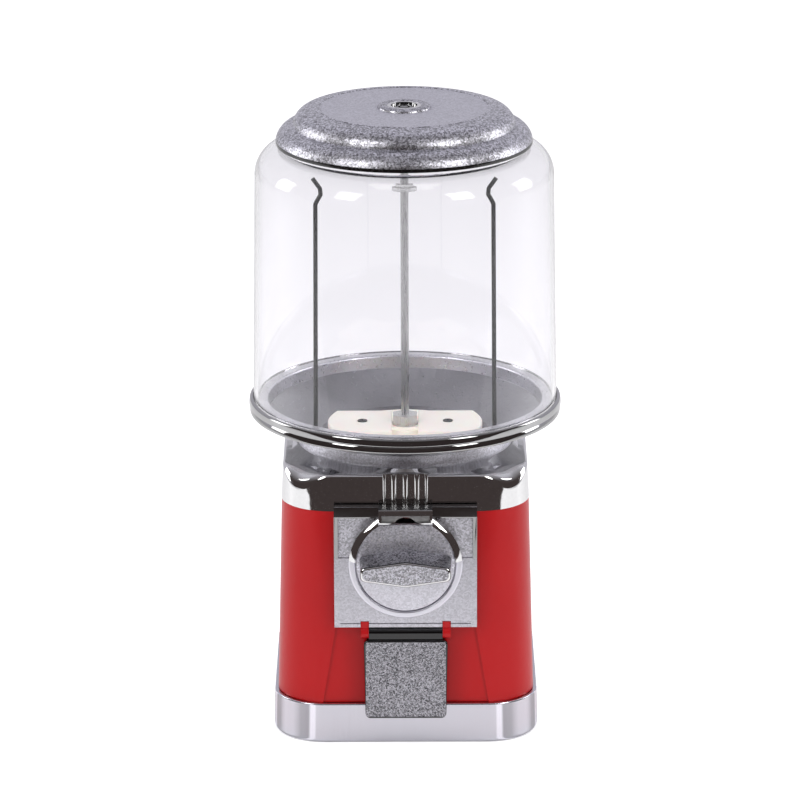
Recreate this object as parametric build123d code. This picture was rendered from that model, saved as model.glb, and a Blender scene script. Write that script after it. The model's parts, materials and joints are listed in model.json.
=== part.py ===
from build123d import *
import os
from math import asin, cos, degrees, pi, radians, sin, sqrt, tan

# A counter-top capsule vendor: a square cast body, a clear globe on a polished
# hopper ring, and a hand-turned coin mechanism that drives a capsule wheel.
# Millimetres. +Z is up, the front looks along -Y, and the origin is the centre
# of the footprint, on the plane that the base stands on.

# ---------------------------------------------------------------- main sizes
BASE_HALF = 93.0          # half width of the base skirt
BASE_TOP = 29.2           # skirt meets the painted body
BODY_HALF_LOW = 90.0      # painted body at its foot
BODY_HALF_TOP = 86.5      # painted body at its top
BODY_TOP = 169.3          # painted body meets the top cap
CAP_TOP = 195.2           # flat rim of the cap
NECK_SEAT = 198.0         # raised round seat on the cap
CORNER_R = 36.0           # plan corner radius of the square castings
WALL = 2.5                # casting wall

HOPPER_LOW = 217.7        # underside of the polished ring
HOPPER_TOP = 228.4        # top of the polished ring
RING_R = 110.2            # widest radius of the ring
GLOBE_R_LOW = 107.0       # globe outside radius at its foot
GLOBE_R_TOP = 104.4       # globe outside radius where the shoulder starts
GLOBE_FOOT = 227.7
SHOULDER_Z = 389.5        # start of the globe's shoulder
SHOULDER_R = 20.0         # shoulder bend radius, outside
GLOBE_WALL = 3.0
NECK_R = 86.5             # globe neck outside radius
NECK_TOP = 417.5
LID_LOW = 411.5           # lower rim of the lid
LID_R = 89.5
LID_TOP = 436.0           # flat disc on top of the lid

AXIS_Z = 134.0            # handle shaft height
MECH_BACK = -88.7         # back of the coin plate, on the body's pads
PLATE_FRONT = -94.5
PLATE_HALF = 49.6
PLATE_LOW = 86.8
PLATE_TOP = 174.8
BORDER_Z = 137.5          # raised border covers the plate above this height

ROD_R = 2.8
RUN = 0.06                # radial running clearance of turning parts

WHEEL_TOP = 200.0         # capsule wheel
WHEEL_LOW = 163.0
WHEEL_R = 55.2
POCKET_R = 15.5           # capsule pocket
POCKET_AT = 33.5          # pocket centre from the wheel axis
TOOTH_PITCH_Z = 160.0     # height where the pinion rolls on the wheel's teeth
PINION_TEETH = 16
WHEEL_TEETH = 32
PINION_R = TOOTH_PITCH_Z - AXIS_Z
TOOTH_ADD = 2.6
TOOTH_DED = 3.0
TOOTH_THICK = 3.9
GEAR_Y = -52.0            # plane of the pinion
GEAR_FACE = 4.0

DOOR_AXIS_Y = -93.0       # chute door hinge
DOOR_AXIS_Z = 82.6
DOOR_TOP = 78.3
DOOR_LOW = 20.5
DOOR_HALF = 29.4
DOOR_BACK = -95.2
DOOR_FRONT = -98.6


# ---------------------------------------------------------------- shape helpers
def slab(x0, x1, y0, y1, z0, z1):
    """A box between two opposite corners, in either order."""
    middle = Pos((x0 + x1) / 2, (y0 + y1) / 2, (z0 + z1) / 2)
    return middle * Box(abs(x1 - x0), abs(y1 - y0), abs(z1 - z0))


def rod_z(radius, z0, z1, x=0.0, y=0.0):
    """An upright cylinder."""
    return Pos(x, y, (z0 + z1) / 2) * Cylinder(radius, z1 - z0)


def rod_y(radius, y0, y1, x=0.0, z=AXIS_Z):
    """A cylinder that runs front to back."""
    return Pos(x, (y0 + y1) / 2, z) * Rot(90, 0, 0) * Cylinder(radius, abs(y1 - y0))


def rod_x(radius, x0, x1, y=0.0, z=0.0):
    """A cylinder that runs left to right."""
    return Pos((x0 + x1) / 2, y, z) * Rot(0, 90, 0) * Cylinder(radius, abs(x1 - x0))


def tube_z(outer, inner, z0, z1):
    """An upright ring on the main axis."""
    return rod_z(outer, z0, z1) - rod_z(inner, z0 - 1, z1 + 1)


def square_prism(half0, half1, z0, z1, radius=CORNER_R):
    """A square casting with round corners that tapers from half0 to half1."""
    low = Plane.XY.offset(z0) * RectangleRounded(2 * half0, 2 * half0, radius)
    top = Plane.XY.offset(z1) * RectangleRounded(2 * half1, 2 * half1, radius)
    return loft(Sketch() + [low, top])


def turned(*edges):
    """Revolve a closed (r, 0, z) outline of edges about the main axis."""
    return revolve(make_face(list(edges)), Axis.Z)


def path(*points):
    """Straight edges through (r, z) points, for turned()."""
    return Polyline(*[(r, 0, z) for r, z in points])


def bend(a, b, c):
    """An arc through three (r, z) points, for turned()."""
    return ThreePointArc(*[(r, 0, z) for r, z in (a, b, c)])


def front_plate(sketch, y_back, y_front):
    """Extrude a sketch drawn in (x, z) about the handle axis from y_back to y_front."""
    plane = Plane(origin=(0, y_back, AXIS_Z), x_dir=(1, 0, 0), z_dir=(0, -1, 0))
    return extrude(plane * sketch, y_back - y_front)


def hex_z(flats, z0, z1, bore):
    """A hexagon nut on the main axis, with flats to the left and right."""
    hexagon = Rot(0, 0, 30) * RegularPolygon(flats / 2, 6, major_radius=False)
    nut = extrude(Plane.XY.offset(z0) * hexagon, z1 - z0)
    return nut - rod_z(bore, z0 - 1, z1 + 1)


def pan_screw_z(x, y, z_seat, length, shank=2.0, head=3.6):
    """A pan-head screw that points down, seated at z_seat."""
    body = rod_z(shank, z_seat - length, z_seat, x, y) + rod_z(head, z_seat, z_seat + 2.0, x, y)
    slot = slab(x - head, x + head, y - 0.4, y + 0.4, z_seat + 1.1, z_seat + 2.5)
    return body - slot


# ---------------------------------------------------------------- base
PLATE_Z0 = 12.0
PLATE_Z1 = 14.0
FOOT_AT = 57.0
MOUNT_AT = 38.0           # stand bolt holes, on a square
MOUNT_HOLE_R = 4.0
SCREW_X = 78.0            # screws that hold the base plate to the skirt's ledge
SCREW_Y = 56.0
SCREW_HOLE_R = 2.1
FOOT_FLANGE = 10.0        # how far the skirt's foot reaches in from its side
SKIRT_WALL = 3.2


def base_skirt():
    outer = square_prism(BASE_HALF, BASE_HALF - 0.6, 0.0, BASE_TOP)
    outer = fillet(outer.edges().group_by(Axis.Z)[0], 4.0)
    outer = fillet(outer.edges().group_by(Axis.Z)[-1], 1.0)
    cavity_half = BASE_HALF - SKIRT_WALL
    shell = outer - square_prism(cavity_half, cavity_half, 2.4, 30.0, CORNER_R - SKIRT_WALL)
    inner_half = BASE_HALF - FOOT_FLANGE
    shell -= square_prism(inner_half, inner_half, -1.0, 5.0, CORNER_R - FOOT_FLANGE)
    ledge = square_prism(BASE_HALF - 3.0, BASE_HALF - 3.0, 8.6, PLATE_Z0, CORNER_R - 3.0)
    ledge -= square_prism(72.5, 72.5, 8.0, 13.0, CORNER_R - 16)
    skirt = shell + ledge
    for x, y in corners(SCREW_X, SCREW_Y):
        skirt -= rod_z(SCREW_HOLE_R, 8.0, 13.0, x, y)
    return skirt


def corners(dx, dy):
    """The four signed (x, y) places of a rectangle pattern."""
    return [(sx * dx, sy * dy) for sx in (-1, 1) for sy in (-1, 1)]


def base_plate():
    plate = square_prism(86.5, 86.5, PLATE_Z0, PLATE_Z1, CORNER_R - 6.5)
    plate -= rod_z(ROD_R + 0.05, 11, 15)
    for x, y in corners(MOUNT_AT, MOUNT_AT):
        plate -= rod_z(MOUNT_HOLE_R, 11, 15, x, y)
    for x, y in corners(SCREW_X, SCREW_Y):
        plate -= rod_z(SCREW_HOLE_R, 11, 15, x, y)
    return plate


def base_screws():
    return Compound([pan_screw_z(x, y, PLATE_Z1, 6.5) for x, y in corners(SCREW_X, SCREW_Y)])


def rubber_feet():
    feet = []
    for x, y in corners(FOOT_AT, FOOT_AT):
        foot = Pos(x, y, PLATE_Z0 / 2) * Cone(8.0, 9.5, PLATE_Z0)
        feet.append(foot - rod_z(4.0, -1, 1.2, x, y))
    return Compound(feet)


# ---------------------------------------------------------------- painted body and cap
def body_half(z):
    """Half width of the painted body at height z."""
    t = (z - BASE_TOP) / (BODY_TOP - BASE_TOP)
    return BODY_HALF_LOW + (BODY_HALF_TOP - BODY_HALF_LOW) * t


CHUTE_HALF = 27.3
LUG_X0 = 25.8
LUG_X1 = 31.2
LUG_R = 4.4


def hinge_lug(side):
    """A cast lug beside the chute door's barrel."""
    x0, x1 = sorted((side * LUG_X0, side * LUG_X1))
    ear = rod_x(LUG_R, x0, x1, DOOR_AXIS_Y, DOOR_AXIS_Z)
    root = slab(x0, x1, DOOR_AXIS_Y, -86.0, DOOR_AXIS_Z - LUG_R, 91.0)
    tongue = slab(x0, x1, PLATE_FRONT - 0.5, -88.0, DOOR_AXIS_Z, 91.0)
    return ear + root + tongue


def body_shell():
    outer = square_prism(BODY_HALF_LOW, BODY_HALF_TOP, BASE_TOP, BODY_TOP)
    inner = square_prism(BODY_HALF_LOW - WALL, BODY_HALF_TOP - WALL, BASE_TOP, BODY_TOP, CORNER_R - WALL)
    shell = outer - inner
    shell += outer & slab(-61.0, 61.0, -95.0, -82.4, BASE_TOP, 92.5)
    shell += slab(-47.5, 47.5, MECH_BACK, -82.4, 90.0, BODY_TOP)
    # a shallow recess that widens towards the base, around the chute door
    low, high = BASE_TOP - 1, PLATE_LOW + 0.3
    outline = Polyline((-58.2, low), (-48.4, high), (48.4, high), (58.2, low), close=True)
    recess_plane = Plane(origin=(0, -80, 0), x_dir=(1, 0, 0), z_dir=(0, -1, 0))
    recess = extrude(recess_plane * make_face(outline), 15)
    front_lean = degrees(asin((BODY_HALF_LOW - BODY_HALF_TOP) / (BODY_TOP - BASE_TOP)))
    cutter = Pos(0, -body_half(60) + 1.5, 60) * Rot(-front_lean, 0, 0) * Pos(0, -10, 0) * Box(140, 20, 150)
    shell -= recess & cutter
    shell -= slab(-44, 44, -100, -70, 94.0, 165.0)
    shell -= slab(-CHUTE_HALF, CHUTE_HALF, -100, -70, 31.0, 76.1)
    shell += hinge_lug(-1) + hinge_lug(1)
    return shell - rod_x(1.5, -33.0, 33.0, DOOR_AXIS_Y, DOOR_AXIS_Z)


CAP_HALF_LOW = 86.8
CAP_HALF_TOP = 85.4
CAP_BEND = 2.0            # rounded top edge of the cap
CAP_CORNER_BEND = 14.0    # the same at its corners, turned about the main axis
CAP_REACH = 106.0         # radius of the cap's corners
CAP_BORE = 61.0


def corner_rounding(inset=0.0):
    """A round lid shape that rolls the cap's four corners down, or one that lies inset within it."""
    bend_r, top = CAP_CORNER_BEND - inset, CAP_TOP - inset
    start = (CAP_REACH - CAP_CORNER_BEND, top)
    lean = bend_r * sqrt(0.5)
    middle = (start[0] + lean, top - bend_r + lean)
    end = (start[0] + bend_r, top - bend_r)
    foot = end[0] + 4.0
    side = path(end, (foot, BODY_TOP), (foot, BODY_TOP - 5.0), (0, BODY_TOP - 5.0), (0, top), start)
    return turned(bend(start, middle, end), side)


def top_cap():
    outer = square_prism(CAP_HALF_LOW, CAP_HALF_TOP, BODY_TOP, CAP_TOP)
    outer = fillet(outer.edges().group_by(Axis.Z)[-1], CAP_BEND)
    outer &= corner_rounding()
    seat = Pos(0, 0, (CAP_TOP + NECK_SEAT) / 2 - 0.5) * Cone(84.0, 77.5, NECK_SEAT - CAP_TOP + 1.0)
    seat &= square_prism(79.5, 79.5, CAP_TOP - 5, NECK_SEAT + 5, 32.0)
    hollow_top = CAP_TOP - 2.8
    inner = square_prism(CAP_HALF_LOW - WALL, CAP_HALF_TOP - 3.4, BODY_TOP - 1, hollow_top, CORNER_R - WALL)
    cap = outer + (seat & slab(-99, 99, -99, 99, CAP_TOP - 2, NECK_SEAT))
    cap += slab(-47.5, 47.5, MECH_BACK, -80.0, BODY_TOP, PLATE_TOP - 2.0)
    cap -= inner & corner_rounding(WALL)
    return cap - rod_z(CAP_BORE, 150, 210)


# ---------------------------------------------------------------- hopper
WELL_R = 57.6
FLOOR_Z0 = 150.0
FLOOR_Z1 = 153.0
PAN_R = 48.4
PAN_TOP = 162.4
WINDOW_HALF = 26.0        # opening for the pinion in the floor


def hopper_skirt():
    outline = path((72.5, NECK_SEAT), (76.6, NECK_SEAT), (76.2, 209.0), (73.0, 207.0), (72.5, NECK_SEAT))
    skirt = turned(outline)
    return (skirt - hopper_bowl()).solids().sort_by(Axis.Z)[0]


def hopper_ring():
    foot = path((98.2, 219.0), (98.2, HOPPER_LOW), (106.3, HOPPER_LOW))
    lower_bead = bend((106.3, HOPPER_LOW), (109.5, 219.6), (108.5, 222.3))
    upper_bead = bend((108.5, 222.3), (RING_R, 225.6), (108.0, HOPPER_TOP))
    groove = path((108.0, HOPPER_TOP), (107.5, HOPPER_TOP), (107.5, 226.3), (103.3, 226.3))
    lip = path((103.3, 226.3), (103.3, HOPPER_TOP), (98.4, HOPPER_TOP))
    roll = bend((98.4, HOPPER_TOP), (97.0, 227.8), (96.5, 226.4))
    inner = path((96.5, 226.4), (96.0, 219.0), (98.2, 219.0))
    return turned(foot, lower_bead, upper_bead, groove, lip, roll, inner)


def hopper_bowl():
    top = path((98.0, 218.9), (95.2, 218.9))
    slope = bend((95.2, 218.9), (77.0, 208.6), (59.6, 201.2))
    inside = path((59.6, 201.2), (WELL_R, 199.0), (WELL_R, FLOOR_Z0))
    well = path((WELL_R, FLOOR_Z0), (60.1, FLOOR_Z0), (60.1, 197.6), (61.4, 199.2))
    under = bend((61.4, 199.2), (78.2, 206.6), (98.0, 217.0))
    return turned(top, slope, inside, well, under, path((98.0, 217.0), (98.0, 218.9)))


def hopper_floor():
    disc = rod_z(WELL_R - 0.05, FLOOR_Z0, FLOOR_Z1)
    pan = rod_z(PAN_R, FLOOR_Z0, PAN_TOP)
    hollow = rod_z(PAN_R - 2.2, FLOOR_Z0 - 1, PAN_TOP - 2.2)
    boss = rod_z(9.0, FLOOR_Z0, PAN_TOP)
    spout = rod_z(POCKET_R + 2.3, FLOOR_Z0, PAN_TOP, POCKET_AT, 0)
    floor = disc + pan - hollow + boss + (spout & rod_z(PAN_R, FLOOR_Z0, PAN_TOP))
    floor -= rod_z(POCKET_R + 0.3, FLOOR_Z0 - 1, PAN_TOP + 1, POCKET_AT, 0)
    floor -= rod_z(ROD_R + 0.05, FLOOR_Z0 - 1, PAN_TOP + 1)
    return floor - slab(-WINDOW_HALF, WINDOW_HALF, -60, GEAR_Y + 3.2, FLOOR_Z0 - 1, PAN_TOP)


def globe_gasket():
    return tube_z(107.3, 103.5, 226.35, 227.6)


WIRE_R = 1.5
WIRE_X = 61.8             # at its foot; the wire leans in a little on the way up
WIRE_TOP_X = 60.7
WIRE_Y = -56.0


def display_wires():
    wires = []
    for side in (-1, 1):
        points = [
            (side * WIRE_X, WIRE_Y, 214.6),
            (side * WIRE_TOP_X, WIRE_Y, 381.5),
            (side * (WIRE_TOP_X - 3.6), WIRE_Y, 388.0),
            (side * (WIRE_TOP_X - 3.2), WIRE_Y, 392.4),
            (side * (WIRE_TOP_X + 1.7), WIRE_Y, 399.4),
        ]
        line = FilletPolyline(*points, radius=1.9)
        start = Plane(origin=points[0], z_dir=line % 0)
        wires.append(sweep(start * Circle(WIRE_R), path=line))
    return Compound(wires)


def wire_sockets():
    sockets = []
    for side in (-1, 1):
        boss = rod_z(3.4, 209.0, 217.2, side * WIRE_X, WIRE_Y)
        boss -= rod_z(WIRE_R + 0.05, 214.5, 218.0, side * WIRE_X, WIRE_Y)
        sockets.append(boss)
    return sockets


def hopper_bowl_with_sockets():
    bowl = hopper_bowl()
    for socket in wire_sockets():
        bowl += socket
    for side in (-1, 1):
        bowl -= rod_z(WIRE_R + 0.05, 214.5, 218.0, side * WIRE_X, WIRE_Y)
    return bowl - slab(-WINDOW_HALF, WINDOW_HALF, -62, GEAR_Y, FLOOR_Z0 - 1, 156.5)


# ---------------------------------------------------------------- globe and lid
def globe():
    centre_r = GLOBE_R_TOP - SHOULDER_R
    inner_bend = SHOULDER_R - GLOBE_WALL

    def on_bend(radius, angle):
        return centre_r + radius * cos(radians(angle)), SHOULDER_Z + radius * sin(radians(angle))

    neck_angle = degrees(pi / 2 - asin((NECK_R - centre_r) / SHOULDER_R))
    neck_start = on_bend(SHOULDER_R, neck_angle)
    neck_inner = NECK_R - GLOBE_WALL
    outer = path((GLOBE_R_LOW - GLOBE_WALL, GLOBE_FOOT), (GLOBE_R_LOW, GLOBE_FOOT), (GLOBE_R_TOP, SHOULDER_Z))
    shoulder = bend(on_bend(SHOULDER_R, 0), on_bend(SHOULDER_R, neck_angle / 2), neck_start)
    neck = path(neck_start, (NECK_R, NECK_TOP), (neck_inner, NECK_TOP), (neck_inner, SHOULDER_Z + inner_bend))
    step = path((neck_inner, SHOULDER_Z + inner_bend), on_bend(inner_bend, 90))
    inside = bend(on_bend(inner_bend, 90), on_bend(inner_bend, 45), on_bend(inner_bend, 0))
    wall = path(on_bend(inner_bend, 0), (GLOBE_R_LOW - GLOBE_WALL, GLOBE_FOOT))
    return turned(outer, shoulder, neck, step, inside, wall)


LOCK_R = 11.8
LID_SEAT = 418.6


def lid():
    rim = path((87.2, LID_SEAT), (87.2, LID_LOW), (88.8, LID_LOW), (LID_R, 413.2))
    lower_roll = bend((LID_R, 413.2), (86.5, 420.0), (78.6, 424.0))
    crease = path((78.6, 424.0), (77.4, 424.7))
    upper_roll = bend((77.4, 424.7), (74.6, 431.2), (66.0, 435.2))
    bead = path((66.0, 435.2), (60.4, LID_TOP + 0.2), (59.6, LID_TOP + 0.3), (58.6, LID_TOP))
    top = path((58.6, LID_TOP), (LOCK_R + 0.1, LID_TOP))
    hole = path((LOCK_R + 0.1, LID_TOP), (LOCK_R + 0.1, LID_TOP - 2.6), (61.5, LID_TOP - 2.6))
    under = path((61.5, LID_TOP - 2.6), (69.0, 431.6), (72.4, 424.6), (81.5, 420.6), (81.5, LID_SEAT))
    seat = path((81.5, LID_SEAT), (87.2, LID_SEAT))
    return turned(rim, lower_roll, crease, upper_roll, bead, top, hole, under, seat)


def lid_seal():
    return tube_z(86.9, 82.0, NECK_TOP + 0.05, LID_SEAT - 0.02)


def lock_flange():
    edge, crown, inner = (18.4, LID_TOP + 1.1), (15.4, LID_TOP + 2.2), (LOCK_R + 0.1, LID_TOP + 1.7)
    flange = path((LOCK_R + 0.1, LID_TOP + 0.02), (18.8, LID_TOP + 0.02), edge)
    return turned(flange, bend(edge, crown, inner), path(inner, (LOCK_R + 0.1, LID_TOP + 0.02)))


def lock_body():
    barrel = rod_z(LOCK_R, 416.0, LID_TOP + 1.6) + rod_z(14.5, 430.2, LID_TOP - 2.65)
    barrel -= rod_z(9.2, 433.0, 439.0)
    barrel -= rod_z(5.5 + RUN, 430.4, 434.0)
    return barrel - rod_z(ROD_R + RUN, 415.0, 429.6)


def lock_plug():
    plug = rod_z(5.5, 430.5, 436.4)
    keyway = tube_z(4.2, 2.8, 434.4, 437.0)
    return plug - keyway - slab(-0.9, 0.9, 2.4, 6.0, 434.4, 437.0)


def lock_nut():
    return hex_z(30.0, 424.0, 430.1, LOCK_R + 0.05)


# ---------------------------------------------------------------- centre rod
BUSH_R = 6.0
BUSH_TOP = 204.2
GUARD_TOP = 208.4


def center_rod():
    rod = rod_z(ROD_R, 3.0, 429.0)
    return rod - tube_z(ROD_R + 1, ROD_R - 0.35, 3.0 - 1, 3.0 + 0.6)


def rod_collar():
    return tube_z(8.7, ROD_R + 0.02, 379.0, 382.6) + hex_z(12.0, 382.6, 386.4, ROD_R + 0.02)


def rod_washer():
    return tube_z(11.0, ROD_R + 0.1, 10.4, PLATE_Z0 - 0.02)


def rod_nut():
    return hex_z(13.0, 4.6, 10.35, ROD_R + 0.02)


def wheel_bush():
    return tube_z(BUSH_R, ROD_R + 0.03, PAN_TOP + 0.02, BUSH_TOP)


def hub_washer():
    return tube_z(9.0, ROD_R + 0.1, 206.22, 207.7)


def hub_nut():
    return hex_z(17.0, 207.75, 213.6, ROD_R + 0.02)


# ---------------------------------------------------------------- capsule wheel and drive
def crown_tooth():
    """One tooth that hangs from the wheel's rim, drawn at the front of the wheel."""
    tip = TOOTH_PITCH_Z - TOOTH_ADD
    slope = tan(radians(20))
    half_tip = TOOTH_THICK / 2 - TOOTH_ADD * slope
    root = WHEEL_LOW + 0.5
    half_root = TOOTH_THICK / 2 + (root - TOOTH_PITCH_Z) * slope
    outline = Polyline((-half_tip, tip), (half_tip, tip), (half_root, root), (-half_root, root), close=True)
    plane = Plane(origin=(0, GEAR_Y + 2.2, 0), x_dir=(1, 0, 0), z_dir=(0, -1, 0))
    return extrude(plane * make_face(outline), 4.6)


def capsule_wheel():
    wheel = rod_z(WHEEL_R, WHEEL_LOW, WHEEL_TOP) + rod_z(11.0, WHEEL_LOW, BUSH_TOP - 0.4)
    wheel = chamfer(wheel.edges().filter_by(GeomType.CIRCLE).filter_by(lambda e: e.radius > 50), 0.8)
    for side in (-1, 1):
        wheel -= rod_z(POCKET_R, WHEEL_LOW - 1, WHEEL_TOP + 1, 0, side * POCKET_AT)
        wheel -= Pos(0, side * POCKET_AT, WHEEL_TOP - 1.49) * Cone(POCKET_R, POCKET_R + 2.2, 3.0)
    for angle in (-32, 0, 32, 148, 180, 212):
        x = 36.0 * cos(radians(angle))
        y = 36.0 * sin(radians(angle))
        wheel -= rod_z(8.0, WHEEL_LOW - 1, WHEEL_TOP - 6.0, x, y)
    for index in range(WHEEL_TEETH):
        wheel += Rot(0, 0, index * 360 / WHEEL_TEETH) * crown_tooth()
    wheel -= rod_z(BUSH_R + RUN, WHEEL_LOW - 1, BUSH_TOP + 1)
    return wheel


def wheel_guard():
    disc = rod_z(54.6, BUSH_TOP + 0.02, GUARD_TOP)
    guard = Part()
    for side in (-1, 1):
        x0, x1 = sorted((side * 9.2, side * 60.0))
        wing = disc & slab(x0, x1, -25.0, 25.0, 200, 220)
        wing = chamfer(wing.faces().sort_by(Axis.Z)[-1].edges(), 0.7)
        guard += wing
    guard += slab(-9.5, 9.5, -9.0, 9.0, BUSH_TOP + 0.02, 206.2)
    guard -= rod_z(ROD_R + 0.05, 200, 220)
    for side in (-1, 1):
        guard -= rod_z(1.9, 200, 220, side * 30.2, 0)
        guard -= rod_z(3.9, 207.2, 220, side * 30.2, 0)
    return guard


def guard_screws():
    screws = []
    for side in (-1, 1):
        x = side * 30.2
        screw = rod_z(1.8, 201.2, 207.3, x) + rod_z(3.4, 207.22, 208.9, x)
        along = slab(x - 1.9, x + 1.9, -0.4, 0.4, 208.2, 209.5)
        across = slab(x - 0.4, x + 0.4, -1.9, 1.9, 208.2, 209.5)
        screws.append(screw - along - across)
    return Compound(screws)


def guard_brushes():
    brushes = []
    for side in (-1, 1):
        x = side * 32.0
        brush = slab(x - 17, x + 17, -6.0, 6.0, WHEEL_TOP + 0.35, BUSH_TOP)
        brushes.append(brush - rod_z(1.82, 190, 210, side * 30.2, 0))
    return Compound(brushes)


def pinion_flank(radius):
    """Half angle of a pinion tooth at a radius, from the involute of its base circle."""
    base = PINION_R * cos(radians(20))

    def involute(r):
        t = sqrt(max((r / base) ** 2 - 1, 0.0))
        return t - (pi / 2 - asin(1 / sqrt(1 + t * t)))

    return TOOTH_THICK / (2 * PINION_R) + involute(PINION_R) - involute(max(radius, base))


def drive_pinion():
    root = PINION_R - TOOTH_DED
    tip = PINION_R + TOOTH_ADD
    steps = [root - 0.3, 24.6, 25.6, 26.8, 27.8, tip]
    teeth = Part()
    for index in range(PINION_TEETH):
        middle = pi / 2 + (index + 0.5) * 2 * pi / PINION_TEETH
        right = [(r, middle - pinion_flank(r)) for r in steps]
        left = [(r, middle + pinion_flank(r)) for r in reversed(steps)]
        outline = Polyline(*[(r * cos(a), r * sin(a)) for r, a in right + left], close=True)
        teeth += front_plate(make_face(outline), GEAR_Y + GEAR_FACE / 2, GEAR_Y - GEAR_FACE / 2)
    gear = rod_y(root, GEAR_Y - GEAR_FACE / 2, GEAR_Y + GEAR_FACE / 2) + teeth
    gear += rod_y(9.0, GEAR_Y - GEAR_FACE / 2 - 5.0, GEAR_Y + GEAR_FACE / 2)
    for index in range(6):
        a = index * pi / 3
        gear -= rod_y(4.2, -60, -40, 15.6 * cos(a), AXIS_Z + 15.6 * sin(a))
    return gear - rod_y(SHAFT_R + 0.02, -70, -40)


# ---------------------------------------------------------------- coin mechanism
RING_OUT = 39.6           # ring around the handle
RING_IN = 34.9
DIAL_R = 34.2
DIAL_FRONT = -97.6
GRIP_HALF = 32.2          # half length of the grip bar at its root
GRIP_FRONT = -121.0
SHAFT_R = 5.0
BOSS_R = 9.0              # handle boss that passes through the plate
SLOT_HALF = 18.6          # coin slot housing
SLOT_LOW = 164.0
SLOT_TOP = PLATE_TOP
GROOVE_Z = 89.7
MECH_SCREWS_AT = [(x, AXIS_Z + dz) for x in (-39.0, 39.0) for dz in (-34.0, 26.0)]


def mech_plate():
    plate = slab(-PLATE_HALF, PLATE_HALF, PLATE_FRONT, MECH_BACK, PLATE_LOW, PLATE_TOP - 3.0)
    ring = front_plate(Circle(RING_OUT) - Circle(RING_IN), PLATE_FRONT, PLATE_FRONT - 2.6)
    ring &= slab(-60, 60, -110, -80, PLATE_LOW, BORDER_Z)
    ring = fillet(ring.faces().sort_by(Axis.Y)[0].edges().filter_by(GeomType.CIRCLE), 1.2)
    plate += ring
    plate -= slab(-45.5, 45.5, PLATE_FRONT - 0.1, PLATE_FRONT + 0.9, GROOVE_Z - 0.5, GROOVE_Z + 0.3)
    plate -= slab(-PLATE_HALF - 1.0, PLATE_HALF + 1.0, -100, PLATE_FRONT + 1.0, BORDER_Z, PLATE_TOP)
    plate -= slab(-SLOT_HALF - 0.05, SLOT_HALF + 0.05, -100, -80, SLOT_LOW - 0.05, 190)
    plate -= rod_y(DIAL_R + 0.3, -100, PLATE_FRONT + 3.0)
    plate -= rod_y(BOSS_R + 0.1, -100, -80)
    plate -= slab(-14.5, 14.5, -100, -80, 158.0, 165.0)
    for side in (-1, 1):
        x0, x1 = sorted((side * (LUG_X0 - 0.3), side * (LUG_X1 + 0.3)))
        plate -= slab(x0, x1, -100, -80, 80, 91.3)
    for x, z in MECH_SCREWS_AT:
        plate -= rod_y(2.05, -92.0, -80, x, z)
    return plate


def border_frame():
    """The polished bevel round the upper half of the coin plate."""
    back, crest = PLATE_FRONT + 0.95, PLATE_FRONT - 1.6
    blank = slab(-PLATE_HALF, PLATE_HALF, crest, back, BORDER_Z, PLATE_TOP)
    top_strip = slab(-PLATE_HALF, PLATE_HALF, MECH_BACK, back, PLATE_TOP - 2.95, PLATE_TOP)
    blank += top_strip
    window_top = PLATE_TOP - 7.7
    window = Polyline(
        (-PLATE_HALF + 3.0, BORDER_Z - 5 - AXIS_Z),
        (-PLATE_HALF + 3.0, window_top - AXIS_Z),
        (PLATE_HALF - 3.0, window_top - AXIS_Z),
        (PLATE_HALF - 3.0, BORDER_Z - 5 - AXIS_Z),
        close=True,
    )
    frame = blank - front_plate(make_face(window), PLATE_FRONT + 2.0, -110)
    bevel_depth = 2.4
    for side in (-1, 1):
        x = side * PLATE_HALF
        wedge = Polyline((x, crest), (x - side * 2.2, crest), (x, crest + bevel_depth), close=True)
        frame -= extrude(Plane.XY.offset(BORDER_Z - 1) * make_face(wedge), 45)
    foot_of_rise = (crest, PLATE_TOP - 6.7)
    rise = Polyline((crest, PLATE_TOP), foot_of_rise, (crest + bevel_depth, PLATE_TOP), close=True)
    frame -= extrude(Plane.YZ.offset(-60) * make_face(rise), 120)
    frame -= slab(-SLOT_HALF - 0.05, SLOT_HALF + 0.05, -110, -80, SLOT_LOW - 3, 190)
    frame -= rod_y(RING_OUT + 0.05, -110, -80)
    return frame


def collar_hood():
    """The polished half-round hood over the upper half of the handle."""
    back, front = PLATE_FRONT + 0.95, -103.4
    ring = front_plate(Circle(RING_OUT) - Circle(RING_IN), back, front)
    ring &= slab(-60, 60, -120, -80, BORDER_Z + 0.02, AXIS_Z + RING_OUT)
    ring -= slab(-SLOT_HALF - 0.05, SLOT_HALF + 0.05, -120, -80, 150, 190)
    front_faces = ring.faces().group_by(Axis.Y)[0]
    return fillet(front_faces.edges().filter_by(GeomType.CIRCLE), 1.9)


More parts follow.
